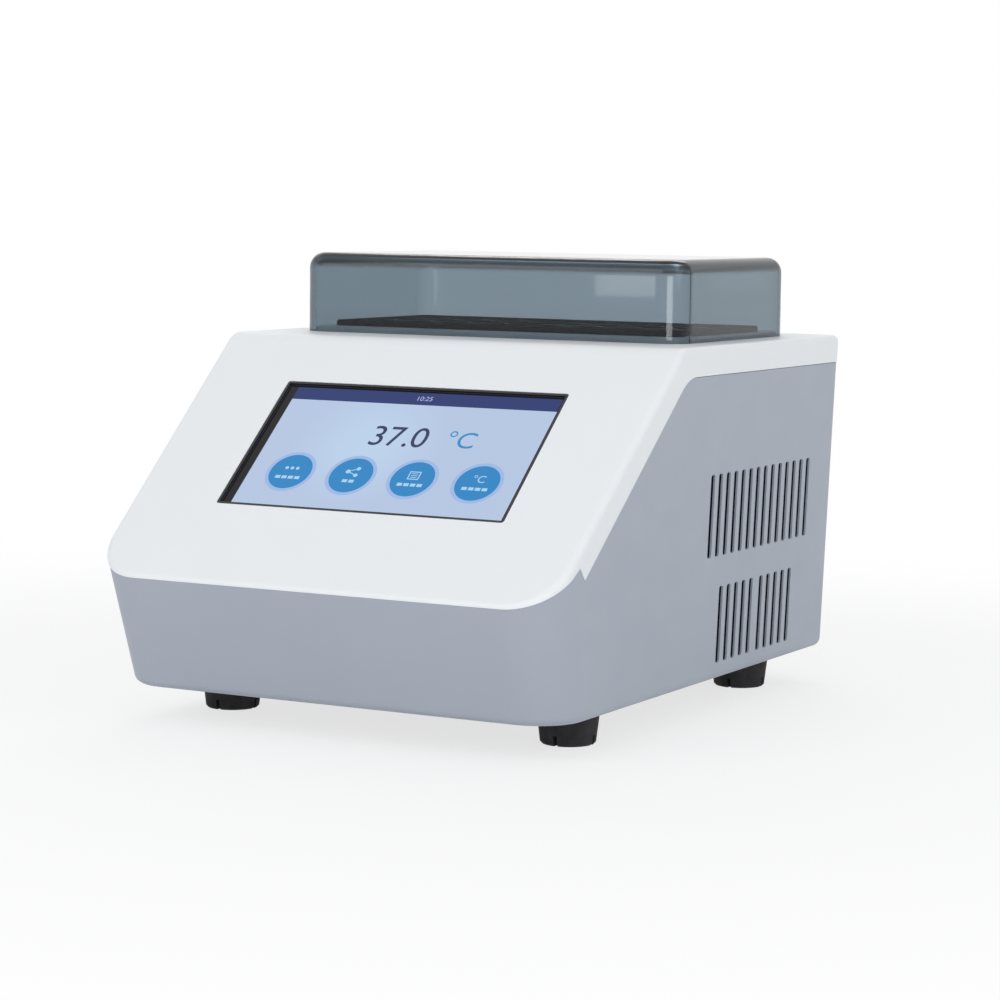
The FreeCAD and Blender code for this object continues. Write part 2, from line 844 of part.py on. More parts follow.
def make_display_bracket():
    """Steel frame behind the display, screwed to the cover's bosses, with studs for the board."""
    z1 = -bracket_depth()
    z0 = z1 - bracket_thickness
    width = lcd_width + 2 * bracket_ear
    plate = rounded_plate(0, 0, z0, width, lcd_height, bracket_thickness, bracket_ear / 2)
    opening = centred_box(0, 0, z0, lcd_width - 2 * bracket_side_band,
                          lcd_height - 2 * bracket_end_band, bracket_thickness)
    holes = [opening]
    for x, y in display_boss_places():
        holes.append(rod(x, y, z0, z1, small_screw[0] + screw_clearance))
    studs = []
    for x, y in display_board_holes():
        studs.append(rod(x, y, z0 - display_standoff_length, z0, standoff_radius))
        holes.append(rod(x, y, z0 - display_standoff_length, z1, small_screw[0] + screw_clearance))
    return at_window(cut_all(fuse_all([plate] + studs), holes))


def display_board_holes():
    """Fixing holes of the display board, in the window's frame."""
    x_hole = display_board_width / 2 - board_hole_margin
    y_hole = display_board_height / 2 - board_hole_margin
    return [(sx * x_hole, sy * y_hole) for sx in (-1, 1) for sy in (-1, 1)]


def make_display_board():
    """Controller board behind the display, with its chips and connectors."""
    z1 = -bracket_depth() - bracket_thickness - display_standoff_length
    z0 = z1 - board_thickness
    parts = [centred_box(0, 0, z0, display_board_width, display_board_height, board_thickness)]
    for x, y, width, depth, height in display_parts:
        parts.append(centred_box(x, y, z0 - height, width, depth, height))
    holes = [rod(x, y, z0, z1, small_screw[0] + screw_clearance) for x, y in display_board_holes()]
    return at_window(cut_all(fuse_all(parts), holes))


def make_display_screws():
    """Screws through the bracket into the bosses, and through the board into the studs."""
    screws = []
    z_bracket = -bracket_depth() - bracket_thickness
    for x, y in display_boss_places():
        screws.append(at_window(screw(x, y, z_bracket, 1, small_screw, display_screw_length)))
    z_board = z_bracket - display_standoff_length - board_thickness
    for x, y in display_board_holes():
        screws.append(at_window(screw(x, y, z_board, 1, small_screw, display_standoff_length)))
    return screws


# Lid, collar and blocks

def lid_form(inset):
    """Closed form of the lid, offset inwards."""
    height = lid_height - inset
    form = rounded_plate(0, y_lid, z_top, lid_width - 2 * inset, lid_depth - 2 * inset, height,
                         lid_corner_radius - inset)
    upper = edges_on_plane(form, V(0, 0, z_top + height), Z_AXIS)
    return form.makeFillet(lid_top_radius - inset, upper)


def make_lid():
    """Clear moulded lid, open below."""
    return lid_form(0).cut(lid_form(lid_wall))


def bay_box(x, z0, z1, grow):
    """Upright well for one block."""
    return rounded_plate(x, y_module, z0, bay_width + 2 * grow, bay_depth + 2 * grow, z1 - z0,
                         block_corner_radius + block_clearance + grow)


def make_block_collar():
    """Black collar round both blocks: raised rim, skirt through the cover and snap hooks."""
    z_skirt = z_deck - collar_skirt_depth
    rim = rounded_plate(0, y_module, z_deck, collar_width, collar_depth, collar_height,
                        collar_corner_radius)
    rim = rim.makeChamfer(collar_chamfer, edges_on_plane(rim, V(0, 0, z_deck + collar_height), Z_AXIS))
    skirt_width = 2 * bay_width + collar_bar + 2 * collar_skirt_wall
    skirt_depth = bay_depth + 2 * collar_skirt_wall
    skirt = rounded_plate(0, y_module, z_skirt, skirt_width, skirt_depth, collar_skirt_depth,
                          collar_corner_radius - collar_clearance)
    solids = [rim, skirt]
    z_catch = z_deck - wall - collar_clearance
    for _, sign_x in sides:
        for sign_y in (-1, 1):
            y_face = y_module + sign_y * skirt_depth / 2
            y_tip = y_face + sign_y * (collar_clearance + hook_reach)
            hook = prism_x([(y_face, z_catch), (y_tip, z_catch), (y_face, z_catch - 2 * hook_reach)],
                           sign_x * bay_x - hook_width / 2, sign_x * bay_x + hook_width / 2)
            solids.append(hook)
    bays = [bay_box(sign * bay_x, z_skirt - wall, z_deck + 2 * collar_height, 0) for _, sign in sides]
    return cut_all(fuse_all(solids), bays)


def make_block(x):
    """Aluminium block with a grid of wells that end in a cone."""
    block = rounded_plate(x, y_module, z_block, block_width, block_depth, block_height,
                          block_corner_radius)
    block = block.makeChamfer(well_chamfer, edges_on_plane(block, V(0, 0, z_block_top), Z_AXIS))
    z_cone = z_block_top - well_depth + well_tip_depth
    profile = [
        V(0, 0, z_block_top - well_depth),
        V(well_tip_radius, 0, z_block_top - well_depth),
        V(well_radius, 0, z_cone),
        V(well_radius, 0, z_block_top - well_chamfer),
        V(well_radius + well_chamfer, 0, z_block_top),
        V(well_radius + well_chamfer, 0, z_block_top + wall),
        V(0, 0, z_block_top + wall),
    ]
    well = Part.Face(Part.makePolygon(profile + profile[:1])).revolve(V(0, 0, 0), Z_AXIS, 360)
    wells = []
    for column in range(well_columns):
        for row in range(well_rows):
            dx = (column - (well_columns - 1) / 2) * well_pitch_x
            dy = (row - (well_rows - 1) / 2) * well_pitch_y
            copy = well.copy()
            copy.translate(V(x + dx, y_module + dy, 0))
            wells.append(copy)
    return cut_all(block, wells)


# Heating and cooling stack

def stack_screw_places(x):
    """Screws that clamp one heat plate to its heatsink."""
    return [(x + sx * stack_screw_x, y_module + sy * stack_screw_y) for sx in (-1, 1) for sy in (-1, 1)]


def make_heat_plate(x):
    """Aluminium plate under one block, drilled for its screws and its sensor."""
    plate = rounded_plate(x, y_module, z_plate, block_width, block_depth, heat_plate_thickness,
                          block_corner_radius)
    holes = []
    for sx, sy in stack_screw_places(x):
        holes.append(rod(sx, sy, z_plate, z_block, small_screw[0] + screw_clearance))
        holes.append(rod(sx, sy, z_block - small_screw[2], z_block, small_screw[1] + screw_clearance))
    z_middle = z_plate + heat_plate_thickness / 2
    y_rear = y_module + block_depth / 2
    holes.append(rod_y(x, y_rear - sensor_depth, y_rear, z_middle, sensor_radius + sensor_clearance))
    return cut_all(plate, holes)


def make_thermo_module(x):
    """Thermoelectric module: two ceramic faces with the semiconductor core between."""
    size = thermo_module_size
    core_size = size - thermo_core_inset
    core = centred_box(x, y_module, z_sink_top, core_size, core_size, thermo_module_thickness)
    lower = centred_box(x, y_module, z_sink_top, size, size, thermo_ceramic)
    upper = centred_box(x, y_module, z_plate - thermo_ceramic, size, size, thermo_ceramic)
    return fuse_all([core, lower, upper])


def bridge_screw_xs(x):
    """X positions of the two screws that hold one heatsink on each bridge."""
    return [x - heatsink_width / 3, x + heatsink_width / 3]


def bridge_rail_y():
    """Distance from the middle of the stack to the outer face of a bridge."""
    return heatsink_base_depth / 2


def bridge_flange_y():
    """Distance from the middle of the stack to the screws in a bridge's flange."""
    return bridge_rail_y() - sheet - (bridge_flange - sheet) / 2


def make_heatsink(x):
    """Extruded heatsink whose fins run across, towards the side vents."""
    base = centred_box(x, y_module, z_sink_base, heatsink_width, heatsink_base_depth,
                       heatsink_base_thickness)
    solids = [base]
    for index in range(fin_count):
        y = y_module + (index - (fin_count - 1) / 2) * fin_pitch
        solids.append(centred_box(x, y, z_fins, heatsink_width, fin_thickness, fin_height))
    holes = []
    depth = heatsink_base_thickness - screw_end_gap
    for sx, sy in stack_screw_places(x):
        holes.append(rod(sx, sy, z_sink_top - depth, z_sink_top, small_screw[0] + screw_clearance))
    for sx in bridge_screw_xs(x):
        for sign in (-1, 1):
            holes.append(rod(sx, y_module + sign * bridge_flange_y(), z_sink_base, z_sink_base + depth,
                             small_screw[0] + screw_clearance))
    return cut_all(fuse_all(solids), holes)


def make_stack_screws():
    """Screws, sunk level in the heat plates, that clamp the stack to the heatsinks."""
    length = heat_plate_thickness - small_screw[2] + thermo_module_thickness
    length += heatsink_base_thickness - 2 * screw_end_gap
    screws = []
    for _, sign in sides:
        for x, y in stack_screw_places(sign * bay_x):
            screws.append(screw(x, y, z_block - small_screw[2], -1, small_screw, length))
    return screws


def make_insulation():
    """Foam body round the heat plates and blocks, standing on the heatsinks."""
    z1 = z_deck - collar_skirt_depth - insulation_gap
    width = 2 * bay_width + collar_bar + 2 * insulation_wall_x
    depth = bay_depth + 2 * insulation_wall_y
    foam = rounded_plate(0, y_module, z_sink_top, width, depth, z1 - z_sink_top, collar_corner_radius)
    holes = [bay_box(sign * bay_x, z_sink_top, z1, 0) for _, sign in sides]
    z_middle = z_plate + heat_plate_thickness / 2
    for _, sign in sides:
        holes.append(rod_y(sign * bay_x, y_module, y_module + depth, z_middle,
                           sensor_radius + block_clearance))
    return cut_all(foam, holes)


def make_sensor(x):
    """Temperature probe in the heat plate, with its crimped tail."""
    z = z_plate + heat_plate_thickness / 2
    y_tip = y_module + block_depth / 2 - sensor_depth + sensor_clearance
    y_tail = y_module + block_depth / 2 + sensor_tail
    probe = rod_y(x, y_tip, y_tail, z, sensor_radius)
    crimp = rod_y(x, y_tail - sensor_radius, y_tail + sensor_radius, z, sensor_radius * drive_ratio)
    return fuse_all([probe, crimp])


def make_bridge(sign):
    """Steel bridge of Z section that carries both heatsinks on the chassis plate."""
    y_outer = y_module + sign * bridge_rail_y()
    half = bay_x + heatsink_width / 2

    def strip(reach, z0, z1):
        y_inner = y_outer - sign * reach
        return box(-half, half, min(y_outer, y_inner), max(y_outer, y_inner), z0, z1)

    web = strip(sheet, z_chassis_top, z_sink_base)
    flange = strip(bridge_flange, z_sink_base - sheet, z_sink_base)
    foot = strip(bridge_foot, z_chassis_top, z_chassis_top + sheet)
    holes = []
    y_flange = y_module + sign * bridge_flange_y()
    for _, side in sides:
        for x in bridge_screw_xs(side * bay_x):
            holes.append(rod(x, y_flange, z_sink_base - sheet, z_sink_base,
                             small_screw[0] + screw_clearance))
        holes.append(centred_box(side * bay_x, y_outer, z_fan - bridge_window_height, heatsink_width / 2,
                                 4 * sheet, bridge_window_height))
    for x, y in bridge_foot_screws(sign):
        holes.append(rod(x, y, z_chassis_top, z_chassis_top + sheet, medium_screw[0] + screw_clearance))
    return cut_all(fuse_all([web, flange, foot]), holes)


def bridge_foot_screws(sign):
    """Screws that hold one bridge on the chassis plate."""
    y = y_module + sign * (bridge_rail_y() - sheet - (bridge_foot - sheet) / 2)
    return [(side * bay_x, y) for _, side in sides]


def make_bridge_screws():
    """Screws up through the bridge flanges into the heatsinks."""
    screws = []
    length = sheet + heatsink_base_thickness - 2 * screw_end_gap
    for _, side in sides:
        for x in bridge_screw_xs(side * bay_x):
            for sign in (-1, 1):
                screws.append(screw(x, y_module + sign * bridge_flange_y(), z_sink_base - sheet, 1,
                                    small_screw, length))
    return screws


# Chassis plate

def make_chassis_plate():
    """Steel plate on the housing's bosses that carries the stack and the electronics."""
    y0 = y_front + chassis_front_inset
    y1 = y_back - chassis_rear_inset
    plate = rounded_plate(0, (y0 + y1) / 2, z_chassis, chassis_width, y1 - y0, sheet,
                          chassis_corner_radius)
    holes = []
    for x, y, _ in post_places():
        notch_radius = post_radius + screw_end_gap
        holes.append(rod(x, y, z_chassis, z_chassis_top, notch_radius))
        x_notch = x + math.copysign(chassis_width / 4, x)
        holes.append(centred_box(x_notch, y, z_chassis, chassis_width / 2, 2 * notch_radius, sheet))
    radius = medium_screw[0] + screw_clearance
    threaded = chassis_screw_places() + bridge_foot_screws(-1) + bridge_foot_screws(1)
    for x, y in threaded:
        holes.append(rod(x, y, z_chassis, z_chassis_top, radius))
    for x, y in supply_screw_places() + control_board_holes():
        holes.append(rod(x, y, z_chassis, z_chassis_top, small_screw[0] + screw_clearance))
    return cut_all(plate, holes)


def make_chassis_screws():
    """Screws that hold the chassis plate, and those that hold the bridges on it."""
    length = chassis_boss_height + sheet - screw_end_gap
    screws = [screw(x, y, z_chassis_top, -1, medium_screw, length) for x, y in chassis_screw_places()]
    for sign in (-1, 1):
        for x, y in bridge_foot_screws(sign):
            bridge_length = 2 * (sheet + screw_end_gap)
            screws.append(screw(x, y, z_chassis_top + sheet, -1, medium_screw, bridge_length))
    return screws


# Fans

def make_fan_housing(x):
    """Square fan frame with its duct, struts and bearing tube."""
    frame = rounded_plate(x, y_module, z_fan, fan_size, fan_size, fan_depth, fan_corner_radius)
    duct = rod(x, y_module, z_fan, z_fins, fan_duct_radius)
    half_pitch = fan_hole_spacing / 2
    corners = [(x + sx * half_pitch, y_module + sy * half_pitch) for sx in (-1, 1) for sy in (-1, 1)]
    frame = frame.cut(duct)
    solids = [frame, rod(x, y_module, z_fan, z_fan + fan_base_thickness, fan_hub_radius)]
    for index in range(fan_strut_count):
        strut = box(fan_hub_radius / 2, fan_duct_radius + fan_strut_bite, -fan_strut_width / 2,
                    fan_strut_width / 2, 0, fan_base_thickness)
        strut.rotate(V(0, 0, 0), Z_AXIS, 360 * (index + 0.5) / fan_strut_count)
        strut.translate(V(x, y_module, z_fan))
        solids.append(strut)
    z_tube = z_fins - fan_tube_drop
    solids.append(rod(x, y_module, z_fan, z_tube, fan_bearing_radius))
    bore = rod(x, y_module, z_fan + fan_base_thickness / 2, z_tube, fan_shaft_radius + fan_shaft_clearance)
    holes = [rod(cx, cy, z_fan, z_fins, fan_screw_radius() + screw_clearance) for cx, cy in corners]
    return cut_all(fuse_all(solids), holes + [bore])


def fan_screw_radius():
    """The fan screws bite between two fins."""
    return (fin_pitch - fin_thickness) / 2 - screw_clearance


def make_fan_rotor(x):
    """Hub cup on its shaft with twisted blades."""
    z0 = z_fan + fan_rotor_start
    z1 = z_fins - fan_rotor_drop
    cup = rod(0, 0, z0, z1, fan_hub_radius)
    hollow = rod(0, 0, z0, z1 - fan_base_thickness, fan_hub_radius - fan_hub_wall)
    shaft = rod(0, 0, z_fan + fan_shaft_start, z1 - fan_base_thickness / 2, fan_shaft_radius)
    solids = [cup.cut(hollow), shaft]
    z_middle = (z0 + z1) / 2
    root = blade_section(fan_hub_radius - fan_hub_wall / 2, fan_root_angle)
    tip = blade_section(fan_duct_radius - fan_tip_gap, fan_tip_angle)
    blade = Part.makeLoft([root, tip], True, True)
    blade.translate(V(0, 0, z_middle))
    for index in range(fan_blade_count):
        copy = blade.copy()
        copy.rotate(V(0, 0, 0), Z_AXIS, 360 * index / fan_blade_count)
        solids.append(copy)
    rotor = fuse_all(solids)
    rotor.translate(V(x, y_module, 0))
    return rotor


def blade_section(radius, angle):
    """Flat blade section at one radius, square to that radius and pitched by an angle."""
    along = V(0, math.cos(math.radians(angle)), math.sin(math.radians(angle))) * fan_blade_chord / 2
    across = V(0, -math.sin(math.radians(angle)), math.cos(math.radians(angle))) * fan_blade_thickness / 2
    centre = V(radius, 0, 0)
    points = [centre + along + across, centre - along + across, centre - along - across,
              centre + along - across]
    return Part.makePolygon(points + points[:1])


def make_fan_screws():
    """Screws up through the fan corners into the gaps between fins."""
    size = (fan_screw_radius(), medium_screw[1], medium_screw[2])
    half_pitch = fan_hole_spacing / 2
    screws = []
    for _, side in sides:
        for sx in (-1, 1):
            for sy in (-1, 1):
                x = side * bay_x + sx * half_pitch
                y = y_module + sy * half_pitch
                screws.append(screw(x, y, z_fan, 1, size, fan_depth + fan_screw_bite))
    return screws


# Power supply and control board

def supply_bounds():
    """Plan of the power supply."""
    x0 = supply_x - supply_width / 2
    y0 = y_front + supply_front_inset
    return x0, x0 + supply_width, y0, y0 + supply_depth


def supply_screw_places():
    """Screws up through the chassis plate into the power supply."""
    x0, x1, y0, y1 = supply_bounds()
    margin = 3 * board_hole_margin
    return [(x, y) for x in (x0 + margin, x1 - margin) for y in (y0 + margin, y1 - margin)]


def make_supply_tray():
    """Folded aluminium tray of the power supply: base and two long walls."""
    x0, x1, y0, y1 = supply_bounds()
    z0 = z_chassis_top
    base = box(x0, x1, y0, y1, z0, z0 + supply_wall)
    front = box(x0, x1, y0, y0 + supply_wall, z0, z0 + supply_height - supply_wall)
    back = box(x0, x1, y1 - supply_wall, y1, z0, z0 + supply_height - supply_wall)
    holes = [rod(x, y, z0, z0 + supply_wall, small_screw[0] + screw_clearance)
             for x, y in supply_screw_places()]
    return cut_all(fuse_all([base, front, back]), holes)


def make_supply_cover():
    """Folded cover of the power supply, with cooling slots in its top."""
    x0, x1, y0, y1 = supply_bounds()
    z1 = z_chassis_top + supply_height
    top = box(x0, x1, y0, y1, z1 - supply_wall, z1)
    end = box(x0, x0 + supply_wall, y0 + supply_wall, y1 - supply_wall, z_chassis_top + supply_wall, z1)
    slots = []
    for index in range(supply_slot_count):
        x = supply_x + (index - (supply_slot_count - 1) / 2) * supply_slot_pitch
        slots.append(centred_box(x, (y0 + y1) / 2, z1 - supply_wall, supply_slot_width,
                                 supply_depth - 2 * supply_slot_margin, supply_wall))
    return cut_all(fuse_all([top, end]), slots)


def make_supply_board():
    """Power supply board with transformer, capacitors and terminal block."""
    x0, x1, y0, y1 = supply_bounds()
    z0 = z_chassis_top + supply_wall
    z1 = z0 + supply_leg_length
    margin = 2 * supply_wall
    board = box(x0 + margin, x1 - supply_wall, y0 + margin, y1 - margin, z1, z1 + board_thickness)
    z_board = z1 + board_thickness
    legs = [rod(x, y, z0, z1, standoff_radius) for x, y in supply_leg_places()]
    middle = (y0 + y1) / 2
    parts = [board] + legs
    for dx, dy, width, depth, height in supply_blocks:
        parts.append(centred_box(supply_x + dx, middle + dy, z_board, width, depth, height))
    for dx, dy, radius, height in supply_capacitors:
        parts.append(rod(supply_x + dx, middle + dy, z_board, z_board + height, radius))
    return fuse_all(parts)


def supply_leg_places():
    """Legs of the power supply board, clear of its fixing screws."""
    x0, x1, y0, y1 = supply_bounds()
    margin = 2 * board_hole_margin
    return [(x, y) for x in (x0 + margin, x1 - margin) for y in (y0 + 4 * margin, y1 - 4 * margin)]


def make_supply_screws():
    """Screws from below through the chassis plate into the tray."""
    length = sheet + supply_wall + screw_end_gap
    return [screw(x, y, z_chassis, 1, small_screw, length) for x, y in supply_screw_places()]


def control_board_holes():
    """Fixing holes of the control board."""
    y0 = y_front + control_board_front_inset
    y1 = y0 + control_board_depth
    half = control_board_width / 2 - board_hole_margin
    return [(control_board_x + sign * half, y) for sign in (-1, 1)
            for y in (y0 + board_hole_margin, y1 - board_hole_margin)]


def make_control_standoffs():
    """Brass pillars between the chassis plate and the control board."""
    z1 = z_chassis_top + control_standoff_length
    bore = small_screw[0] + screw_clearance
    return [rod(x, y, z_chassis_top, z1, standoff_radius).cut(rod(x, y, z_chassis_top, z1, bore))
            for x, y in control_board_holes()]


def make_control_board():
    """Control board with relay, power transistors on their heat spreader and connectors."""
    z0 = z_chassis_top + control_standoff_length
    z_board = z0 + board_thickness
    y_middle = y_front + control_board_front_inset + control_board_depth / 2
    parts = [centred_box(control_board_x, y_middle, z0, control_board_width, control_board_depth,
                         board_thickness)]
    for dx, dy, width, depth, height in control_parts:
        parts.append(centred_box(control_board_x + dx, y_middle + dy, z_board, width, depth, height))
    holes = [rod(x, y, z0, z_board, small_screw[0] + screw_clearance) for x, y in control_board_holes()]
    return cut_all(fuse_all(parts), holes)


def make_control_screws():
    """Screws that hold the control board on its pillars, and the pillars on the chassis plate."""
    z_board = z_chassis_top + control_standoff_length + board_thickness
    bite = (control_standoff_length - screw_end_gap) / 2
    places = control_board_holes()
    upper = [screw(x, y, z_board, -1, small_screw, board_thickness + bite) for x, y in places]
    lower = [screw(x, y, z_chassis, 1, small_screw, sheet + bite) for x, y in places]
    return upper + lower


# Mains inlet

def inlet_planes():
    """Panel plane, outer plane of the flange and centre height of the inlet."""
    y_panel = y_back - pocket_depth
    return y_panel, y_panel + inlet_flange_thickness, z_bottom + inlet_height


def inlet_screw_places():
    """X positions of the two screws of the inlet."""
    return [inlet_x - inlet_screw_spacing / 2, inlet_x + inlet_screw_spacing / 2]


def socket_profile(y0, y1):
    """Socket opening with its two cut corners, as a solid."""
    _, _, z = inlet_planes()
    half_x = socket_width / 2
    half_z = socket_height / 2
    points = [
        V(inlet_x - half_x, y0, z - half_z),
        V(inlet_x + half_x, y0, z - half_z),
        V(inlet_x + half_x, y0, z + half_z - socket_chamfer),
        V(inlet_x + half_x - socket_chamfer, y0, z + half_z),
        V(inlet_x - half_x + socket_chamfer, y0, z + half_z),
        V(inlet_x - half_x, y0, z + half_z - socket_chamfer),
    ]
    return Part.Face(Part.makePolygon(points + points[:1])).extrude(V(0, y1 - y0, 0))


def inlet_pins(grow, y0, y1):
    """Three contact pins between two planes, grown by a clearance."""
    _, _, z = inlet_planes()
    pins = []
    for dx, dz in ((-pin_spacing / 2, 0), (0, earth_offset), (pin_spacing / 2, 0)):
        half_x = pin_width / 2 + grow
        half_z = pin_height / 2 + grow
        z_pin = z + dz - earth_offset / 2
        pins.append(box(inlet_x + dx - half_x, inlet_x + dx + half_x, y0, y1, z_pin - half_z,
                        z_pin + half_z))
    return pins


def make_inlet_housing():
    """Moulded body of the inlet: flange, socket, switch opening and fuse drawer opening."""
    y_panel, y_outer, z = inlet_planes()
    half_x = inlet_flange_width / 2
    half_z = inlet_flange_height / 2
    flange = box(inlet_x - half_x, inlet_x + half_x, y_panel, y_outer, z - half_z, z + half_z)
    flange = flange.makeFillet(inlet_corner_radius, edges_along(flange, Y_AXIS))
    body_x = inlet_body_width / 2
    body_z = inlet_body_height / 2
    y_rear = y_panel - inlet_body_depth
    body = box(inlet_x - body_x, inlet_x + body_x, y_rear, y_panel, z - body_z, z + body_z)
    socket = socket_profile(y_outer - socket_depth, y_outer)
    z_rocker = z + rocker_offset
    rocker_x = rocker_opening_width / 2
    rocker_z = rocker_opening_height / 2
    rocker_hole = box(inlet_x - rocker_x, inlet_x + rocker_x, y_outer - rocker_cavity_depth, y_outer,
                      z_rocker - rocker_z, z_rocker + rocker_z)
    pivot = rod_x(inlet_x - rocker_x - rocker_pivot_length, inlet_x + rocker_x + rocker_pivot_length,
                  y_outer - rocker_pivot_inset, z_rocker, rocker_pivot_radius + rocker_pivot_clearance)
    drawer_x = drawer_width / 2 + drawer_clearance
    drawer_z = drawer_height / 2 + drawer_clearance
    z_drawer = z + drawer_offset
    drawer_hole = box(inlet_x - drawer_x, inlet_x + drawer_x, y_outer - drawer_depth - drawer_clearance,
                      y_outer, z_drawer - drawer_z, z_drawer + drawer_z)
    holes = [socket, rocker_hole, pivot, drawer_hole]
    holes += inlet_pins(pin_clearance(), y_rear, y_outer - socket_depth)
    for x in inlet_screw_places():
        holes.append(rod_y(x, y_panel, y_outer, z, small_screw[0] + screw_clearance))
    return cut_all(fuse_all([flange, body]), holes)


def pin_clearance():
    """Gap round the contact pins in their moulding."""
    return screw_clearance / 2


def make_inlet_pins():
    """Contact pins with their tabs behind the inlet."""
    _, y_outer, _ = inlet_planes()
    y_floor = y_outer - socket_depth
    y_rear = y_outer - inlet_flange_thickness - inlet_body_depth
    return inlet_pins(0, y_rear - pin_tab_length, y_floor + pin_length)


def make_inlet_screws():
    """Two screws through the flange into the rear wall."""
    _, y_outer, z = inlet_planes()
    length = inlet_flange_thickness + wall
    shank_radius, head_radius, head_height = small_screw
    head_height = head_height / 2
    screws = []
    for x in inlet_screw_places():
        shank = rod_y(x, y_outer - length, y_outer, z, shank_radius)
        head = rod_y(x, y_outer, y_outer + head_height, z, head_radius)
        drive = rod_y(x, y_outer + head_height / 2, y_outer + head_height, z, shank_radius * drive_ratio)
        screws.append(shank.fuse(head).cut(drive))
    return screws


def make_rocker():
    """Rocker of the mains switch at rest, with its pivot stubs."""
    _, y_outer, z = inlet_planes()
    y_pivot = y_outer - rocker_pivot_inset
    z_pivot = z + rocker_offset
    reach = rocker_half_length
    profile = [
        (y_pivot + rocker_wing_rise, z_pivot - reach),
        (y_pivot + rocker_wing_rise - rocker_dish, z_pivot),
        (y_pivot + rocker_wing_rise, z_pivot + reach),
        (y_pivot - rocker_drop / 2, z_pivot + reach),
        (y_pivot - rocker_drop, z_pivot),
        (y_pivot - rocker_drop / 2, z_pivot - reach),
    ]
    rocker = prism_x(profile, inlet_x - rocker_width / 2, inlet_x + rocker_width / 2)
    stub_reach = rocker_opening_width / 2 + rocker_pivot_length - rocker_pivot_clearance
    stubs = rod_x(inlet_x - stub_reach, inlet_x + stub_reach, y_pivot, z_pivot, rocker_pivot_radius)
    rocker = fuse_all([rocker, stubs])
    rocker.rotate(V(inlet_x, y_pivot, z_pivot), X_AXIS, -rocker_rest_angle)
    return rocker


def fuse_places():
    """Depths of the two fuses in the drawer."""
    _, y_outer, _ = inlet_planes()
    first = y_outer - drawer_front - fuse_spacing / 2 - drawer_clearance
    return [first, first - fuse_spacing]


def make_fuse_drawer():
    """Fuse drawer with its grip and two troughs."""
    _, y_outer, z = inlet_planes()
    z_drawer = z + drawer_offset
    half_x = drawer_width / 2
    half_z = drawer_height / 2
    body = box(inlet_x - half_x, inlet_x + half_x, y_outer - drawer_depth, y_outer,
               z_drawer - half_z, z_drawer + half_z)
    grip = box(inlet_x - half_x / 3, inlet_x + half_x / 3, y_outer, y_outer + drawer_grip,
               z_drawer - drawer_grip, z_drawer + drawer_grip)
    troughs = []
    trough_x = fuse_length / 2 + drawer_clearance
    trough_y = fuse_radius + drawer_clearance
    for y in fuse_places():
        troughs.append(box(inlet_x - trough_x, inlet_x + trough_x, y - trough_y, y + trough_y,
                           z_drawer - fuse_radius, z_drawer + half_z))
    return cut_all(fuse_all([body, grip]), troughs)


def make_fuses():
    """Two glass fuses that lie in the drawer's troughs."""
    _, _, z = inlet_planes()
    z_drawer = z + drawer_offset
    return [rod_x(inlet_x - fuse_length / 2, inlet_x + fuse_length / 2, y, z_drawer, fuse_radius)
            for y in fuse_places()]


# Sub-parts, one file each

def write_parts():
    """Builds every sub-part and writes it."""
    export("upper_cover", make_upper_cover())
    export("lower_housing", make_lower_housing())
    export("vent_filters", Part.makeCompound(make_vent_filters()))
    for name, x, y in foot_places():
        export(name, make_foot(x, y))
    export("foot_screws", Part.makeCompound(make_foot_screws()))
    export("case_screws", Part.makeCompound(make_case_screws()))
    export("display_bezel", make_display_bezel())
    export("touch_glass", make_touch_glass())
    export("display_gasket", make_display_gasket())
    export("lcd_module", make_lcd_module())
    export("display_bracket", make_display_bracket())
    export("display_board", make_display_board())
    export("display_screws", Part.makeCompound(make_display_screws()))
    export("lid", make_lid())
    export("block_collar", make_block_collar())
    export("insulation", make_insulation())
    for side, sign in sides:
        x = sign * bay_x
        export("block_" + side, make_block(x))
        export("heat_plate_" + side, make_heat_plate(x))
        for place, shift in (("outer", sign), ("inner", -sign)):
            name = "thermo_module_" + side + "_" + place
            export(name, make_thermo_module(x + shift * thermo_module_spacing / 2))
        export("heatsink_" + side, make_heatsink(x))
        export("sensor_" + side, make_sensor(x))
        export("fan_housing_" + side, make_fan_housing(x))
        export("fan_rotor_" + side, make_fan_rotor(x))
    export("stack_screws", Part.makeCompound(make_stack_screws()))
    export("bridge_front", make_bridge(-1))
    export("bridge_rear", make_bridge(1))
    export("bridge_screws", Part.makeCompound(make_bridge_screws()))
    export("fan_screws", Part.makeCompound(make_fan_screws()))
    export("chassis_plate", make_chassis_plate())
    export("chassis_screws", Part.makeCompound(make_chassis_screws()))
    export("supply_tray", make_supply_tray())
    export("supply_cover", make_supply_cover())
    export("supply_board", make_supply_board())
    export("supply_screws", Part.makeCompound(make_supply_screws()))
    export("control_board", make_control_board())
    export("control_standoffs", Part.makeCompound(make_control_standoffs()))
    export("control_screws", Part.makeCompound(make_control_screws()))
    export("inlet_housing", make_inlet_housing())
    export("inlet_pins", Part.makeCompound(make_inlet_pins()))
    export("inlet_screws", Part.makeCompound(make_inlet_screws()))
    export("rocker", make_rocker())
    export("fuse_drawer", make_fuse_drawer())
    export("fuses", Part.makeCompound(make_fuses()))


os.makedirs("parts", exist_ok=True)
write_parts()
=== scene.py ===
"""Looks of the dry bath incubator: finishes for every sub-part, the lit display, marks and studio.

Lengths are metres in the part's own frame: X to the right seen from the front, Y to the back, Z up.
"""

import json
import math

import bmesh
import bpy
from mathutils import Matrix, Vector


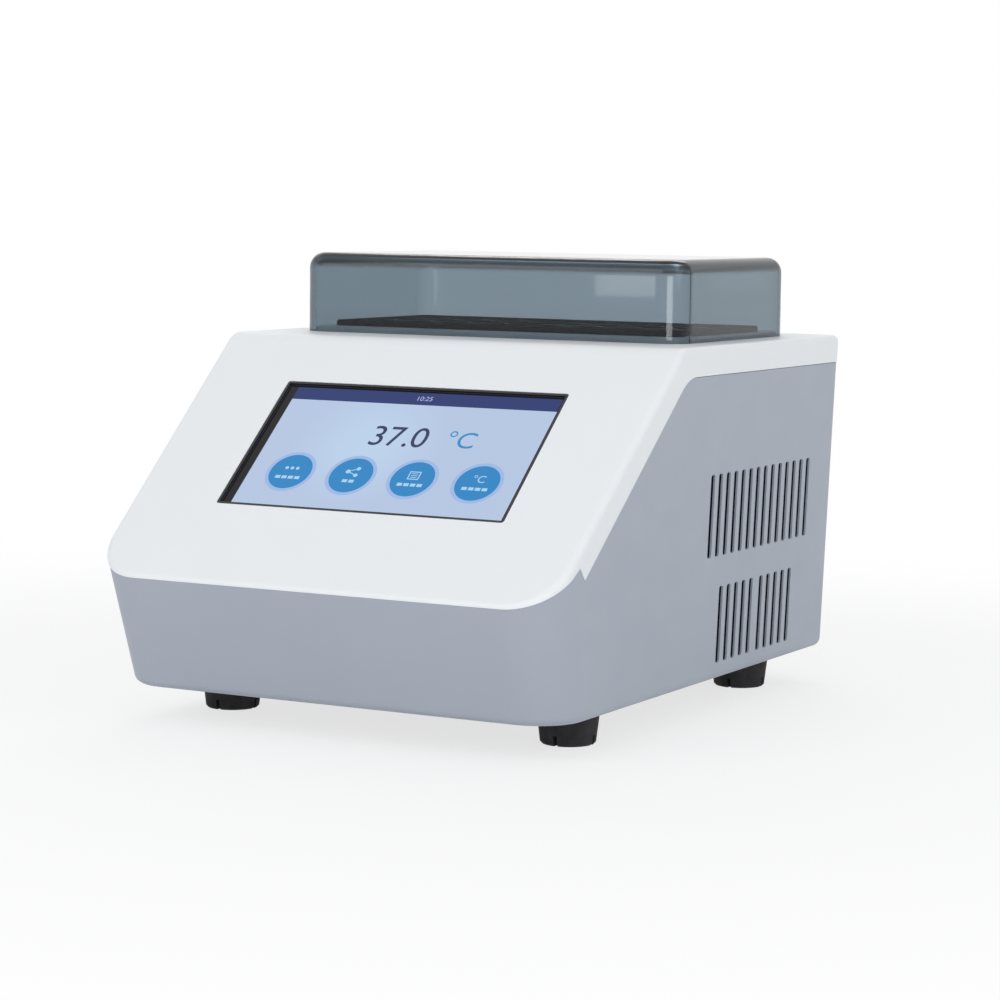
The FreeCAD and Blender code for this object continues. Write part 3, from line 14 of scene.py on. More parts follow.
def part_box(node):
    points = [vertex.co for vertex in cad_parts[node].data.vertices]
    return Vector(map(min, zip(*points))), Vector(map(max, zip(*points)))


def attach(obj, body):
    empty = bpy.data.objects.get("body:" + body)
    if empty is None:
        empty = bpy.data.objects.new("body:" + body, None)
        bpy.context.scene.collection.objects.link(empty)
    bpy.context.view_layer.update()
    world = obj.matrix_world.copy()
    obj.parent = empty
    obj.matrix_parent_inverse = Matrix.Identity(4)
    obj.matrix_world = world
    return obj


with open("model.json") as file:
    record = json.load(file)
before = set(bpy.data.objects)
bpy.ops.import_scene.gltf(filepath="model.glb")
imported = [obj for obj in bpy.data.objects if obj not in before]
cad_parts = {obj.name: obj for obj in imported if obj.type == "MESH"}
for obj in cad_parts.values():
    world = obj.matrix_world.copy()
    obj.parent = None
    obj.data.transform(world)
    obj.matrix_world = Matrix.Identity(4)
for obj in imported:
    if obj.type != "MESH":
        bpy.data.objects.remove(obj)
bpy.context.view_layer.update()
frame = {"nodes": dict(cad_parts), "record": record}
mm = 0.001

# Sloping face: its angle and the display glass in it
slope_angle = math.radians(40.6)
glass_thickness = 1.8 * mm
glass_height = 82.8 * mm

# Screen layout, from the middle of the glass: X to the right, Y up the slope
lit_width = 148.0 * mm
lit_shift = 2.0 * mm
lit_height = 80.6 * mm
bright_place = Vector((-15.0, 3.0, 0.0)) * mm
bright_core = 6.0 * mm
bright_reach = 46.0 * mm
status_bar_height = 8.4 * mm
icon_columns = [-49.0 * mm, -14.9 * mm, 19.0 * mm, 54.0 * mm]
icon_row = -17.8 * mm
icon_radius = 11.4 * mm
halo_radius = 13.3 * mm
pictogram_rise = 2.4 * mm
stroke_drop = 3.8 * mm
stroke_pitch = 3.6 * mm
stroke_width = 2.8 * mm
stroke_height = 1.9 * mm
reading_place = Vector((8.0, 9.0)) * mm
reading_height = 19.0 * mm
figures_offset = -0.45 * reading_height
unit_offset = 1.35 * reading_height
unit_height = 0.8 * reading_height
clock_height = 4.2 * mm
layer = 0.03 * mm

# Sides of round marks: large discs, small dots and the ring
disc_sides = 64
dot_sides = 20
ring_sides = 40

# Wells of one block, and the figures beside them
well_columns = 4
well_rows = 3
well_pitch_x = 22.4 * mm
well_pitch_y = 26.0 * mm
figure_drop = 13.0 * mm
figure_height = 4.2 * mm

# Mains switch: its pivot, the dish of its face and the angle it rests at
rocker_pivot = Vector((55.0, 159.0, 94.5)) * mm
rocker_reach = 6.0 * mm
rocker_rise = 3.8 * mm
rocker_dish = 1.6 * mm
rocker_rest_angle = math.radians(9.0)

# Marks on the switch: the stroke for on and the ring for off
on_width = 0.7 * mm
on_height = 3.2 * mm
off_radius = 1.8 * mm
off_width = 0.6 * mm

# Smoke acrylic: clear surface, smoke in its depth, and painted shade darkening its upper rim
lid_index = 1.36
lid_clear = (0.97, 0.985, 0.99)
# Painted shade: the dark transmitted colour of the lid's upper rim
rim_painted_shade = (0.08, 0.09, 0.1)
smoke_colour = (0.16, 0.29, 0.37)
smoke_density = 305.0
rim_side_start = 6.0 * mm
rim_side_full = 3.5 * mm
rim_top_start = 8.5 * mm
rim_top_full = 2.5 * mm

# Range in which most of a noise lies
noise_low = 0.3
noise_high = 0.7

# Stretches of a pattern: the same all ways, or in lines along an axis
even = (1.0, 1.0, 1.0)
along_x = (0.04, 1.0, 1.0)
along_y = (1.0, 0.04, 1.0)
along_z = (1.0, 1.0, 0.04)

# Floor: half its width, and the range over which it turns from shadowed to white
floor_reach = 8.0
shadow_reach = 0.3
white_reach = 0.75
shadowed_share = 0.72

# Lights: name, place, aim, width, height and watts
lights_aim = (0, 0, 0.12)
pane_aim = (0.082, 0, 0.2147)
softboxes = [
    ("key", (-0.5, -1.6, 1.2), lights_aim, 1.4, 1.0, 9.2),
    ("front", (1.12, -1.41, 0.16), lights_aim, 0.75, 0.26, 3.9),
    ("fill", (1.8, -0.4, 0.9), lights_aim, 1.0, 1.4, 5.6),
    ("back", (-0.6, 1.6, 1.5), lights_aim, 1.2, 0.8, 8.5),
    ("pane", (-0.564, -1.34, 0.176), pane_aim, 0.069, 0.027, 0.02),
]
ambient_colour = (0.97, 0.985, 1.0, 1.0)
ambient_strength = 0.65

# Camera, set to the photograph's viewpoint
camera_place = Vector((712.5, -1308.3, 252.2)) * mm
camera_azimuth = math.radians(28.21)
camera_elevation = math.radians(5.74)
camera_roll = math.radians(0.73)
camera_lens = 106.03
camera_sensor = 36.0
camera_near = 0.01
camera_far = 60.0


# Shapes

def new_piece(name, mesh_source, body, finish):
    """Makes an object from a bmesh, with its finish, riding on a CAD body."""
    mesh = bpy.data.meshes.new(name)
    mesh_source.to_mesh(mesh)
    mesh_source.free()
    piece = bpy.data.objects.new(name, mesh)
    bpy.context.scene.collection.objects.link(piece)
    mesh.materials.append(finish)
    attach(piece, body)


def add_disc(sheet, x, y, radius, low, high, sides):
    """Adds a thin disc to a flat sheet of marks."""
    place = Matrix.Translation((x, y, (low + high) / 2))
    bmesh.ops.create_cone(sheet, cap_ends=True, segments=sides, radius1=radius, radius2=radius,
                          depth=high - low, matrix=place)


def add_bar(sheet, x, y, width, height, low, high, turn=0.0):
    """Adds a thin bar to a flat sheet of marks."""
    place = Matrix.Translation((x, y, (low + high) / 2)) @ Matrix.Rotation(turn, 4, "Z")
    size = Matrix.Diagonal((width, height, high - low, 1.0))
    bmesh.ops.create_cube(sheet, size=1.0, matrix=place @ size)


def add_ring(sheet, x, y, radius, width, low, high):
    """Adds a thin flat ring to a sheet of marks."""
    made = bmesh.ops.create_circle(sheet, segments=ring_sides, radius=radius,
                                   matrix=Matrix.Translation((x, y, low)))
    outer = made["verts"]
    edges = list({edge for vert in outer for edge in vert.link_edges})
    extruded = bmesh.ops.extrude_edge_only(sheet, edges=edges)["geom"]
    inner = [item for item in extruded if isinstance(item, bmesh.types.BMVert)]
    shrink = (radius - width) / radius
    bmesh.ops.scale(sheet, vec=(shrink, shrink, 1.0), verts=inner,
                    space=Matrix.Translation((-x, -y, 0)))
    faces = [item for item in extruded if isinstance(item, bmesh.types.BMFace)]
    solid = bmesh.ops.extrude_face_region(sheet, geom=faces)["geom"]
    raised = [item for item in solid if isinstance(item, bmesh.types.BMVert)]
    bmesh.ops.translate(sheet, vec=(0, 0, high - low), verts=raised)


def add_text(sheet, text, x, y, height, low, high):
    """Adds raised plain figures, centred on a place, to a sheet of marks."""
    curve = bpy.data.curves.new("figures", type="FONT")
    curve.body = text
    curve.align_x = "CENTER"
    curve.align_y = "CENTER"
    curve.size = height
    curve.extrude = (high - low) / 2
    figures = bpy.data.objects.new("figures", curve)
    bpy.context.scene.collection.objects.link(figures)
    bpy.context.view_layer.update()
    mesh = bpy.data.meshes.new_from_object(figures)
    mesh.transform(Matrix.Translation((x, y, (low + high) / 2)))
    sheet.from_mesh(mesh)
    bpy.data.objects.remove(figures)
    bpy.data.curves.remove(curve)
    bpy.data.meshes.remove(mesh)


def box_middle(node):
    """Middle of a CAD node's box."""
    low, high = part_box(node)
    return (low + high) / 2


def screen_frame():
    """Turns a sheet drawn flat into the front plane of the display glass."""
    turn = Matrix.Rotation(slope_angle, 4, "X")
    normal = turn @ Vector((0, 0, 1))
    return Matrix.Translation(box_middle("touch_glass") + normal * glass_thickness / 2) @ turn


# Finishes

def new_finish(name, colour, roughness, metallic=0.0, specular=0.5):
    """Starts a finish with its constant values."""
    finish = bpy.data.materials.new(name)
    finish.use_nodes = True
    shader = finish.node_tree.nodes["Principled BSDF"]
    shader.inputs["Base Color"].default_value = (*colour, 1.0)
    shader.inputs["Roughness"].default_value = roughness
    shader.inputs["Metallic"].default_value = metallic
    shader.inputs["Specular IOR Level"].default_value = specular
    return finish


def new_node(finish, kind, **values):
    """Adds a node and sets its plain values."""
    node = finish.node_tree.nodes.new(kind)
    for key, value in values.items():
        if key in node.inputs:
            node.inputs[key].default_value = value
        else:
            setattr(node, key, value)
    return node


def join(finish, source, target):
    """Links an output to an input."""
    finish.node_tree.links.new(source, target)


def object_noise(finish, scale, detail, stretch):
    """Noise on Object coordinates, stretched along an axis where asked."""
    coords = new_node(finish, "ShaderNodeTexCoord")
    mapping = new_node(finish, "ShaderNodeMapping")
    mapping.inputs["Scale"].default_value = stretch
    noise = new_node(finish, "ShaderNodeTexNoise", Scale=scale, Detail=detail)
    join(finish, coords.outputs["Object"], mapping.inputs["Vector"])
    join(finish, mapping.outputs["Vector"], noise.inputs["Vector"])
    return noise.outputs["Fac"]


def spread(finish, value, low, high):
    """Spreads the range in which most of a noise lies between two bounds."""
    ramp = new_node(finish, "ShaderNodeMapRange")
    ramp.inputs["From Min"].default_value = noise_low
    ramp.inputs["From Max"].default_value = noise_high
    ramp.inputs["To Min"].default_value = low
    ramp.inputs["To Max"].default_value = high
    join(finish, value, ramp.inputs["Value"])
    return ramp.outputs["Result"]


def vary_roughness(finish, scale, low, high, stretch=even):
    """Cloudy roughness."""
    shader = finish.node_tree.nodes["Principled BSDF"]
    cloud = object_noise(finish, scale, 2.0, stretch)
    join(finish, spread(finish, cloud, low, high), shader.inputs["Roughness"])


def vary_colour(finish, scale, colour, amount, stretch=even):
    """Cloudy colour, a little darker and lighter than the named one."""
    shader = finish.node_tree.nodes["Principled BSDF"]
    cloud = object_noise(finish, scale, 3.0, stretch)
    mix = new_node(finish, "ShaderNodeMix", data_type="RGBA")
    mix.inputs["A"].default_value = (*[part * (1.0 - amount) for part in colour], 1.0)
    mix.inputs["B"].default_value = (*[min(1.0, part * (1.0 + amount)) for part in colour], 1.0)
    join(finish, cloud, mix.inputs["Factor"])
    join(finish, mix.outputs["Result"], shader.inputs["Base Color"])


def add_grain(finish, scale, depth, strength=0.5, stretch=even):
    """Fine surface grain as bump."""
    shader = finish.node_tree.nodes["Principled BSDF"]
    bump = new_node(finish, "ShaderNodeBump", Strength=strength, Distance=depth)
    join(finish, object_noise(finish, scale, 4.0, stretch), bump.inputs["Height"])
    join(finish, bump.outputs["Normal"], shader.inputs["Normal"])


def moulded_plastic(name, colour, roughness, amount=0.03, specular=0.45):
    """Satin moulded plastic with spark-eroded grain and slightly cloudy gloss."""
    finish = new_finish(name, colour, roughness, specular=specular)
    vary_colour(finish, 35.0, colour, amount)
    vary_roughness(finish, 60.0, roughness - 0.05, roughness + 0.05)
    add_grain(finish, 1400.0, 0.02 * mm)
    return finish


def machined_metal(name, colour, roughness, stretch):
    """Metal with tool marks along one direction."""
    scale = 900.0
    finish = new_finish(name, colour, roughness, metallic=1.0)
    vary_colour(finish, 25.0, colour, 0.06, stretch)
    vary_roughness(finish, scale / 4, roughness - 0.08, roughness + 0.1, stretch)
    add_grain(finish, scale, 0.01 * mm, 0.4, stretch)
    return finish


def black_anodised(name):
    """Black anodised aluminium with fine milling marks."""
    colour = (0.022, 0.023, 0.026)
    finish = new_finish(name, colour, 0.65, specular=0.05)
    vary_colour(finish, 60.0, colour, 0.15)
    vary_roughness(finish, 200.0, 0.56, 0.72, (0.05, 1.0, 1.0))
    add_grain(finish, 1200.0, 0.008 * mm, 0.4, along_x)
    return finish


def rubber(name, colour):
    """Dull rubber with a dusty bloom."""
    roughness = 0.75
    finish = new_finish(name, colour, roughness, specular=0.3)
    vary_colour(finish, 90.0, colour, 0.35)
    vary_roughness(finish, 140.0, roughness - 0.12, roughness + 0.12)
    add_grain(finish, 2200.0, 0.03 * mm, 0.6)
    return finish


def closed_foam(name, colour, specular=0.2):
    """Closed-cell foam: a small cell pattern in bump and colour."""
    finish = new_finish(name, colour, 0.9, specular=specular)
    shader = finish.node_tree.nodes["Principled BSDF"]
    coords = new_node(finish, "ShaderNodeTexCoord")
    cells = new_node(finish, "ShaderNodeTexVoronoi", Scale=900.0)
    bump = new_node(finish, "ShaderNodeBump", Strength=0.6, Distance=0.15 * mm)
    join(finish, coords.outputs["Object"], cells.inputs["Vector"])
    join(finish, cells.outputs["Distance"], bump.inputs["Height"])
    join(finish, bump.outputs["Normal"], shader.inputs["Normal"])
    vary_colour(finish, 200.0, colour, 0.2)
    return finish


def smooth_step(finish, value, low, high):
    """Rises smoothly from 0 to 1 between two bounds."""
    ramp = new_node(finish, "ShaderNodeMapRange", interpolation_type="SMOOTHSTEP")
    ramp.inputs["From Min"].default_value = low
    ramp.inputs["From Max"].default_value = high
    join(finish, value, ramp.inputs["Value"])
    return ramp.outputs["Result"]


def reckon(finish, operation, first, second):
    """A Math node's result for two values, each an output or a number."""
    node = new_node(finish, "ShaderNodeMath", operation=operation)
    for socket, value in zip(node.inputs, (first, second)):
        if isinstance(value, bpy.types.NodeSocket):
            join(finish, value, socket)
        else:
            socket.default_value = value
    return node.outputs["Value"]


def painted_rim_shade_mask(finish):
    """Mask for the painted shade: one along the upper rim of the lid, else zero."""
    low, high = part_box("lid")
    middle = (low + high) / 2
    coords = new_node(finish, "ShaderNodeTexCoord")
    split = new_node(finish, "ShaderNodeSeparateXYZ")
    join(finish, coords.outputs["Object"], split.inputs["Vector"])
    reach = []
    for axis, name in enumerate("XY"):
        off = reckon(finish, "SUBTRACT", split.outputs[name], middle[axis])
        far = reckon(finish, "ABSOLUTE", off, 0.0)
        reach.append(reckon(finish, "SUBTRACT", far, high[axis] - middle[axis]))
    outermost = reckon(finish, "MAXIMUM", *reach)
    side = smooth_step(finish, outermost, -rim_side_start, -rim_side_full)
    upper = smooth_step(finish, split.outputs["Z"], high.z - rim_top_start, high.z - rim_top_full)
    return reckon(finish, "MULTIPLY", side, upper)


def smoke_acrylic(name):
    """Smoke-tinted clear acrylic: deeper where light runs along the wall, with painted shade
    darkening its upper rim.
    """
    finish = new_finish(name, lid_clear, 0.03)
    shader = finish.node_tree.nodes["Principled BSDF"]
    shader.inputs["Transmission Weight"].default_value = 1.0
    shader.inputs["IOR"].default_value = lid_index
    output = finish.node_tree.nodes["Material Output"]
    smoke = new_node(finish, "ShaderNodeVolumeAbsorption", Density=smoke_density)
    smoke.inputs["Color"].default_value = (*smoke_colour, 1.0)
    join(finish, smoke.outputs["Volume"], output.inputs["Volume"])
    # Painted shade: the transmitted colour turns dark towards the upper rim
    rim_shade_mix = new_node(finish, "ShaderNodeMix", data_type="RGBA")
    rim_shade_mix.inputs["A"].default_value = (*lid_clear, 1.0)
    rim_shade_mix.inputs["B"].default_value = (*rim_painted_shade, 1.0)
    join(finish, painted_rim_shade_mask(finish), rim_shade_mix.inputs["Factor"])
    join(finish, rim_shade_mix.outputs["Result"], shader.inputs["Base Color"])
    add_grain(finish, 18.0, 0.02 * mm, 0.12)
    return finish


def clear_glass(name):
    """Thin clear glass."""
    finish = new_finish(name, (0.92, 0.95, 0.96), 0.02)
    shader = finish.node_tree.nodes["Principled BSDF"]
    shader.inputs["Transmission Weight"].default_value = 1.0
    add_grain(finish, 40.0, 0.01 * mm, 0.1)
    return finish


def lit_screen(name, colour, glow, second=None):
    """Lit display behind glossy glass, with a second colour round its bright place where given."""
    finish = new_finish(name, (0.01, 0.01, 0.012), 0.08, specular=0.15)
    shader = finish.node_tree.nodes["Principled BSDF"]
    shader.inputs["Emission Color"].default_value = (*colour, 1.0)
    shader.inputs["Emission Strength"].default_value = glow
    if second:
        coords = new_node(finish, "ShaderNodeTexCoord")
        reach = new_node(finish, "ShaderNodeVectorMath", operation="DISTANCE")
        reach.inputs[1].default_value = screen_frame() @ bright_place
        mix = new_node(finish, "ShaderNodeMix", data_type="RGBA")
        mix.inputs["A"].default_value = (*second, 1.0)
        mix.inputs["B"].default_value = (*colour, 1.0)
        join(finish, coords.outputs["Object"], reach.inputs[0])
        fade = smooth_step(finish, reach.outputs["Value"], bright_core, bright_reach)
        join(finish, fade, mix.inputs["Factor"])
        join(finish, mix.outputs["Result"], shader.inputs["Emission Color"])
    vary_roughness(finish, 50.0, 0.05, 0.12)
    return finish


def circuit_board(name):
    """Green solder mask with a fine pattern of tracks."""
    green = (0.015, 0.12, 0.05)
    finish = new_finish(name, green, 0.35)
    shader = finish.node_tree.nodes["Principled BSDF"]
    coords = new_node(finish, "ShaderNodeTexCoord")
    tracks = new_node(finish, "ShaderNodeTexBrick", Scale=260.0)
    tracks.inputs["Color1"].default_value = (*green, 1.0)
    tracks.inputs["Color2"].default_value = (0.02, 0.16, 0.07, 1.0)
    tracks.inputs["Mortar"].default_value = (0.05, 0.26, 0.12, 1.0)
    join(finish, coords.outputs["Object"], tracks.inputs["Vector"])
    join(finish, tracks.outputs["Color"], shader.inputs["Base Color"])
    vary_roughness(finish, 300.0, 0.25, 0.45)
    return finish


def make_finishes():
    """One finish for each material slot of the record."""
    return {
        "white_plastic": moulded_plastic("white_plastic", (0.79, 0.812, 0.83), 0.42, amount=0.012),
        "grey_plastic": moulded_plastic("grey_plastic", (0.372, 0.406, 0.467), 0.48, amount=0.025),
        # Foam behind the vents, given a near-black, unreflective colour as painted shade that
        # darkens the vent slots
        "filter_foam": closed_foam("filter_foam", (0.004, 0.005, 0.008), specular=0.0),
        "foot_rubber": rubber("foot_rubber", (0.026, 0.025, 0.027)),
        "screw_steel": machined_metal("screw_steel", (0.62, 0.62, 0.60), 0.32, even),
        "bezel_plastic": moulded_plastic("bezel_plastic", (0.012, 0.012, 0.014), 0.35, amount=0.1),
        "screen_glass": lit_screen("screen_glass", (0.515, 0.63, 0.85), 0.87, (0.55, 0.71, 0.92)),
        "gasket_foam": closed_foam("gasket_foam", (0.03, 0.03, 0.03)),
        "display_tray": machined_metal("display_tray", (0.42, 0.43, 0.45), 0.4, along_x),
        "sheet_steel": machined_metal("sheet_steel", (0.55, 0.56, 0.56), 0.38, along_x),
        "circuit_board": circuit_board("circuit_board"),
        "lid_acrylic": smoke_acrylic("lid_acrylic"),
        "collar_plastic": moulded_plastic("collar_plastic", (0.012, 0.012, 0.014), 0.7, amount=0.1,
                                          specular=0.05),
        "insulation_foam": closed_foam("insulation_foam", (0.05, 0.05, 0.055)),
        "supply_aluminium": machined_metal("supply_aluminium", (0.66, 0.67, 0.68), 0.36, along_x),
        "standoff_brass": machined_metal("standoff_brass", (0.75, 0.58, 0.28), 0.25, along_z),
        "inlet_plastic": moulded_plastic("inlet_plastic", (0.016, 0.016, 0.018), 0.4, amount=0.1,
                                         specular=0.2),
        "contact_brass": machined_metal("contact_brass", (0.72, 0.68, 0.6), 0.25, along_x),
        "rocker_plastic": moulded_plastic("rocker_plastic", (0.012, 0.012, 0.014), 0.22, amount=0.1,
                                          specular=0.3),
        "drawer_plastic": moulded_plastic("drawer_plastic", (0.02, 0.02, 0.022), 0.42, amount=0.1,
                                          specular=0.2),
        "fuse_glass": clear_glass("fuse_glass"),
        "block_aluminium": black_anodised("block_aluminium"),
        "plate_aluminium": machined_metal("plate_aluminium", (0.66, 0.67, 0.68), 0.34, along_x),
        "module_ceramic": moulded_plastic("module_ceramic", (0.78, 0.78, 0.74), 0.6, amount=0.03),
        "heatsink_aluminium": machined_metal("heatsink_aluminium", (0.6, 0.61, 0.62), 0.4, along_x),
        "sensor_steel": machined_metal("sensor_steel", (0.6, 0.6, 0.6), 0.28, along_y),
        "fan_plastic": moulded_plastic("fan_plastic", (0.015, 0.015, 0.017), 0.45, amount=0.1),
        "rotor_plastic": moulded_plastic("rotor_plastic", (0.018, 0.018, 0.02), 0.4, amount=0.1),
    }


def dress_frame(finishes):
    """Gives each CAD node the finish of its slot."""
    for part in frame["record"]["subparts"]:
        node = frame["nodes"][part["node"]]
        node.data.materials.clear()
        node.data.materials.append(finishes[part["material_slot"]])


# Display

def show(name, sheet, finish):
    """Lays a flat sheet of marks on the display glass."""
    sheet.transform(screen_frame())
    new_piece(name, sheet, "base", finish)


def make_status_bar():
    """Dark bar along the top of the screen with a clock."""
    ink = lit_screen("status_ink", (0.018, 0.040, 0.19), 0.8)
    pale = lit_screen("pale_ink", (0.42, 0.48, 0.78), 0.95)
    bar = bmesh.new()
    y = (lit_height - status_bar_height) / 2
    add_bar(bar, lit_shift, y, lit_width, status_bar_height, 0, layer)
    show("screen_status_bar", bar, ink)
    clock = bmesh.new()
    add_text(clock, "10:25", lit_shift, y, clock_height, layer, 2 * layer)
    show("screen_clock", clock, pale)


def make_screen_border():
    """Black border of the glass round the lit area, wider on the side it is shifted from."""
    black = lit_screen("border_ink", (0.01, 0.01, 0.015), 0.2)
    low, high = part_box("touch_glass")
    glass_width = high.x - low.x
    side = (glass_width - lit_width) / 2
    end = (glass_height - lit_height) / 2
    border = bmesh.new()
    for sign in (-1, 1):
        width = side - sign * lit_shift
        add_bar(border, sign * (glass_width - width) / 2, 0, width, glass_height, 0, layer)
        add_bar(border, lit_shift, sign * (glass_height - end) / 2, lit_width, end, 0, layer)
    show("screen_border", border, black)


def make_reading():
    """Large plain temperature figures on the screen."""
    navy = lit_screen("reading_ink", (0.03, 0.045, 0.13), 0.8)
    blue = lit_screen("unit_ink", (0.03, 0.28, 0.60), 0.9)
    figures = bmesh.new()
    add_text(figures, "37.0", reading_place.x + figures_offset, reading_place.y,
             reading_height, 0, layer)
    show("screen_reading", figures, navy)
    unit = bmesh.new()
    add_text(unit, "°C", reading_place.x + unit_offset, reading_place.y,
             unit_height, 0, layer)
    show("screen_unit", unit, blue)


def draw_programme(marks, x, y, low, high):
    """Three dots in a row."""
    pitch = 3.0 * mm
    radius = 1.0 * mm
    for step in (-1, 0, 1):
        add_disc(marks, x + step * pitch, y, radius, low, high, dot_sides)


def draw_mixing(marks, x, y, low, high):
    """A dot joined to two others."""
    large = 1.3 * mm
    small = 1.15 * mm
    line = 0.5 * mm
    left = Vector((x - 2.6 * mm, y))
    for sign in (-1, 1):
        right = Vector((x + 2.4 * mm, y + sign * 2.2 * mm))
        middle = (left + right) / 2
        run = right - left
        turn = math.atan2(run.y, run.x)
        add_bar(marks, middle.x, middle.y, run.length, line, low, high, turn)
        add_disc(marks, right.x, right.y, small, low, high, dot_sides)
    add_disc(marks, left.x, left.y, large, low, high, dot_sides)


def draw_records(marks, x, y, low, high):
    """A sheet with lines on it, as a frame and bars."""
    width = 5.6 * mm
    height = 4.8 * mm
    line = 0.6 * mm
    pitch = 1.2 * mm
    for sign in (-1, 1):
        add_bar(marks, x + sign * width / 2, y, line, height + line, low, high)
        add_bar(marks, x, y + sign * height / 2, width - line, line, low, high)
    for step in (-1, 0, 1):
        add_bar(marks, x, y + step * pitch, width * 0.6, line * 0.7, low, high)


def draw_temperature(marks, x, y, low, high):
    """The sign for degrees Celsius."""
    height = 6.5 * mm
    add_text(marks, "°C", x, y, height, low, high)


def make_icons():
    """Four round keys on the screen, each with a halo, a pictogram and a row of short strokes."""
    halo_ink = lit_screen("halo_ink", (0.36, 0.52, 0.84), 0.9)
    disc_ink = lit_screen("disc_ink", (0.02, 0.235, 0.56), 0.95)
    pale = lit_screen("mark_ink", (0.40, 0.66, 0.90), 0.95)
    halos = bmesh.new()
    discs = bmesh.new()
    marks = bmesh.new()
    drawings = ((draw_programme, 4), (draw_mixing, 2), (draw_records, 4), (draw_temperature, 4))
    for x, (draw, strokes) in zip(icon_columns, drawings):
        add_disc(halos, x, icon_row, halo_radius, 0, layer, disc_sides)
        add_disc(discs, x, icon_row, icon_radius, layer, 2 * layer, disc_sides)
        draw(marks, x, icon_row + pictogram_rise, 2 * layer, 3 * layer)
        for step in range(strokes):
            place = x + (step - (strokes - 1) / 2) * stroke_pitch
            add_bar(marks, place, icon_row - stroke_drop, stroke_width, stroke_height,
                    2 * layer, 3 * layer)
    show("screen_icon_halos", halos, halo_ink)
    show("screen_icon_discs", discs, disc_ink)
    show("screen_icon_marks", marks, pale)


# Marks

def make_block_figures(finish):
    """Numbers beside the wells, printed on the top of both blocks."""
    first = 1
    for side in ("left", "right"):
        low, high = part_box("block_" + side)
        middle = (low + high) / 2
        figures = bmesh.new()
        for index in range(well_columns * well_rows):
            column = index % well_columns
            row = index // well_columns
            x = middle.x + (column - (well_columns - 1) / 2) * well_pitch_x
            y = middle.y - (row - (well_rows - 1) / 2) * well_pitch_y - figure_drop
            add_text(figures, str(first + index), x, y, figure_height, high.z, high.z + layer)
        new_piece("block_figures_" + side, figures, "block_" + side, finish)
        first += well_columns * well_rows


def rocker_face(sign):
    """Turns marks drawn flat into one half of the switch's face, with Y up."""
    tilt = math.atan2(rocker_dish, rocker_reach)
    middle = Vector((0, rocker_rise - rocker_dish / 2, sign * rocker_reach / 2))
    upright = Matrix.Rotation(math.radians(90), 4, "X") @ Matrix.Rotation(math.radians(180), 4, "Y")
    lean = Matrix.Rotation(-sign * tilt, 4, "X")
    rest = Matrix.Rotation(-rocker_rest_angle, 4, "X")
    return Matrix.Translation(rocker_pivot) @ rest @ Matrix.Translation(middle) @ lean @ upright


def make_rocker_marks(finish):
    """A stroke for on and a ring for off on the mains switch."""
    stroke = bmesh.new()
    add_bar(stroke, 0, 0, on_width, on_height, 0, layer)
    stroke.transform(rocker_face(1))
    new_piece("switch_mark_on", stroke, "switch", finish)
    ring = bmesh.new()
    add_ring(ring, 0, 0, off_radius, off_width, 0, layer)
    ring.transform(rocker_face(-1))
    new_piece("switch_mark_off", ring, "switch", finish)


# Studio

def seen_rays(tree):
    """One for rays that are seen directly, through clear parts or in reflections, else zero."""
    path = tree.nodes.new("ShaderNodeLightPath")
    total = path.outputs["Is Camera Ray"]
    for kind in ("Is Glossy Ray", "Is Transmission Ray"):
        either = tree.nodes.new("ShaderNodeMath")
        either.operation = "MAXIMUM"
        tree.links.new(total, either.inputs[0])
        tree.links.new(path.outputs[kind], either.inputs[1])
        total = either.outputs["Value"]
    return total


def make_floor():
    """Pale floor that keeps the soft shadow near the part and turns white further off."""
    floor_mesh = bmesh.new()
    bmesh.ops.create_grid(floor_mesh, x_segments=1, y_segments=1, size=floor_reach)
    mesh = bpy.data.meshes.new("floor")
    floor_mesh.to_mesh(mesh)
    floor_mesh.free()
    floor = bpy.data.objects.new("floor", mesh)
    bpy.context.scene.collection.objects.link(floor)
    pale = new_finish("floor_pale", (0.86, 0.86, 0.87), 0.7, specular=0.2)
    tree = pale.node_tree
    glow = new_node(pale, "ShaderNodeEmission", Strength=1.0)
    share = new_node(pale, "ShaderNodeMath", operation="MULTIPLY")
    coords = new_node(pale, "ShaderNodeTexCoord")
    reach = new_node(pale, "ShaderNodeVectorMath", operation="LENGTH")
    fade = new_node(pale, "ShaderNodeMapRange", interpolation_type="SMOOTHSTEP")
    fade.inputs["From Min"].default_value = shadow_reach
    fade.inputs["From Max"].default_value = white_reach
    fade.inputs["To Min"].default_value = shadowed_share
    mix = new_node(pale, "ShaderNodeMixShader")
    join(pale, coords.outputs["Object"], reach.inputs[0])
    join(pale, reach.outputs["Value"], fade.inputs["Value"])
    join(pale, seen_rays(tree), share.inputs[0])
    join(pale, fade.outputs["Result"], share.inputs[1])
    join(pale, share.outputs["Value"], mix.inputs["Fac"])
    join(pale, tree.nodes["Principled BSDF"].outputs["BSDF"], mix.inputs[1])
    join(pale, glow.outputs["Emission"], mix.inputs[2])
    join(pale, mix.outputs["Shader"], tree.nodes["Material Output"].inputs["Surface"])
    mesh.materials.append(pale)


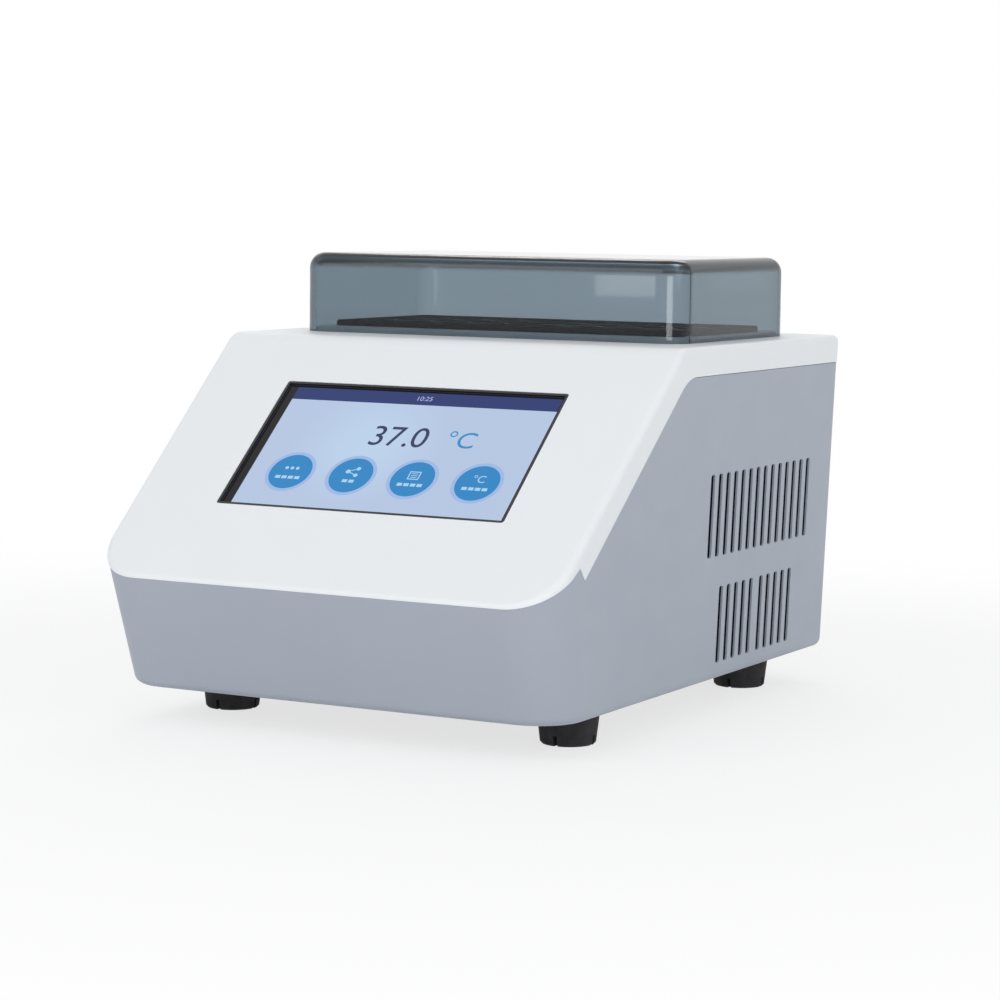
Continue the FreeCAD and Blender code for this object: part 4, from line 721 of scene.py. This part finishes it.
def make_world():
    """White surroundings to look at, and plainer ones as light."""
    world = bpy.data.worlds.new("studio")
    bpy.context.scene.world = world
    world.use_nodes = True
    tree = world.node_tree
    ambient = tree.nodes["Background"]
    ambient.inputs["Color"].default_value = ambient_colour
    ambient.inputs["Strength"].default_value = ambient_strength
    white = tree.nodes.new("ShaderNodeBackground")
    white.inputs["Color"].default_value = (1.0, 1.0, 1.0, 1.0)
    white.inputs["Strength"].default_value = 1.0
    mix = tree.nodes.new("ShaderNodeMixShader")
    tree.links.new(seen_rays(tree), mix.inputs["Fac"])
    tree.links.new(ambient.outputs["Background"], mix.inputs[1])
    tree.links.new(white.outputs["Background"], mix.inputs[2])
    tree.links.new(mix.outputs["Shader"], tree.nodes["World Output"].inputs["Surface"])


def add_softbox(name, place, aim, width, height, power):
    """Rectangular area light that points at a place."""
    light = bpy.data.lights.new(name, type="AREA")
    light.shape = "RECTANGLE"
    light.size = width
    light.size_y = height
    light.energy = power
    lamp = bpy.data.objects.new(name, light)
    bpy.context.scene.collection.objects.link(lamp)
    lamp.location = place
    lamp.rotation_euler = (Vector(aim) - Vector(place)).to_track_quat("-Z", "Y").to_euler()


def make_lights():
    """Soft lights round the part, and a small pane that shows as a reflection in the lid."""
    for softbox in softboxes:
        add_softbox(*softbox)


def make_camera():
    """Camera at the photograph's viewpoint."""
    back = Vector((math.sin(camera_azimuth) * math.cos(camera_elevation),
                   -math.cos(camera_azimuth) * math.cos(camera_elevation),
                   math.sin(camera_elevation)))
    right = Vector((math.cos(camera_azimuth), math.sin(camera_azimuth), 0))
    up = back.cross(right)
    level = Matrix((right, up, back)).transposed().to_4x4()
    data = bpy.data.cameras.new("camera")
    data.lens = camera_lens
    data.sensor_width = camera_sensor
    data.clip_start = camera_near
    data.clip_end = camera_far
    camera = bpy.data.objects.new("camera", data)
    bpy.context.scene.collection.objects.link(camera)
    roll = Matrix.Rotation(camera_roll, 4, "Z")
    camera.matrix_world = Matrix.Translation(camera_place) @ level @ roll
    bpy.context.scene.camera = camera


dress_frame(make_finishes())
white_ink = moulded_plastic("white_ink", (0.72, 0.73, 0.74), 0.55)
make_block_figures(white_ink)
make_rocker_marks(white_ink)
make_screen_border()
make_status_bar()
make_reading()
make_icons()
make_floor()
make_world()
make_lights()
make_camera()
bpy.context.scene.view_settings.view_transform = "Standard"
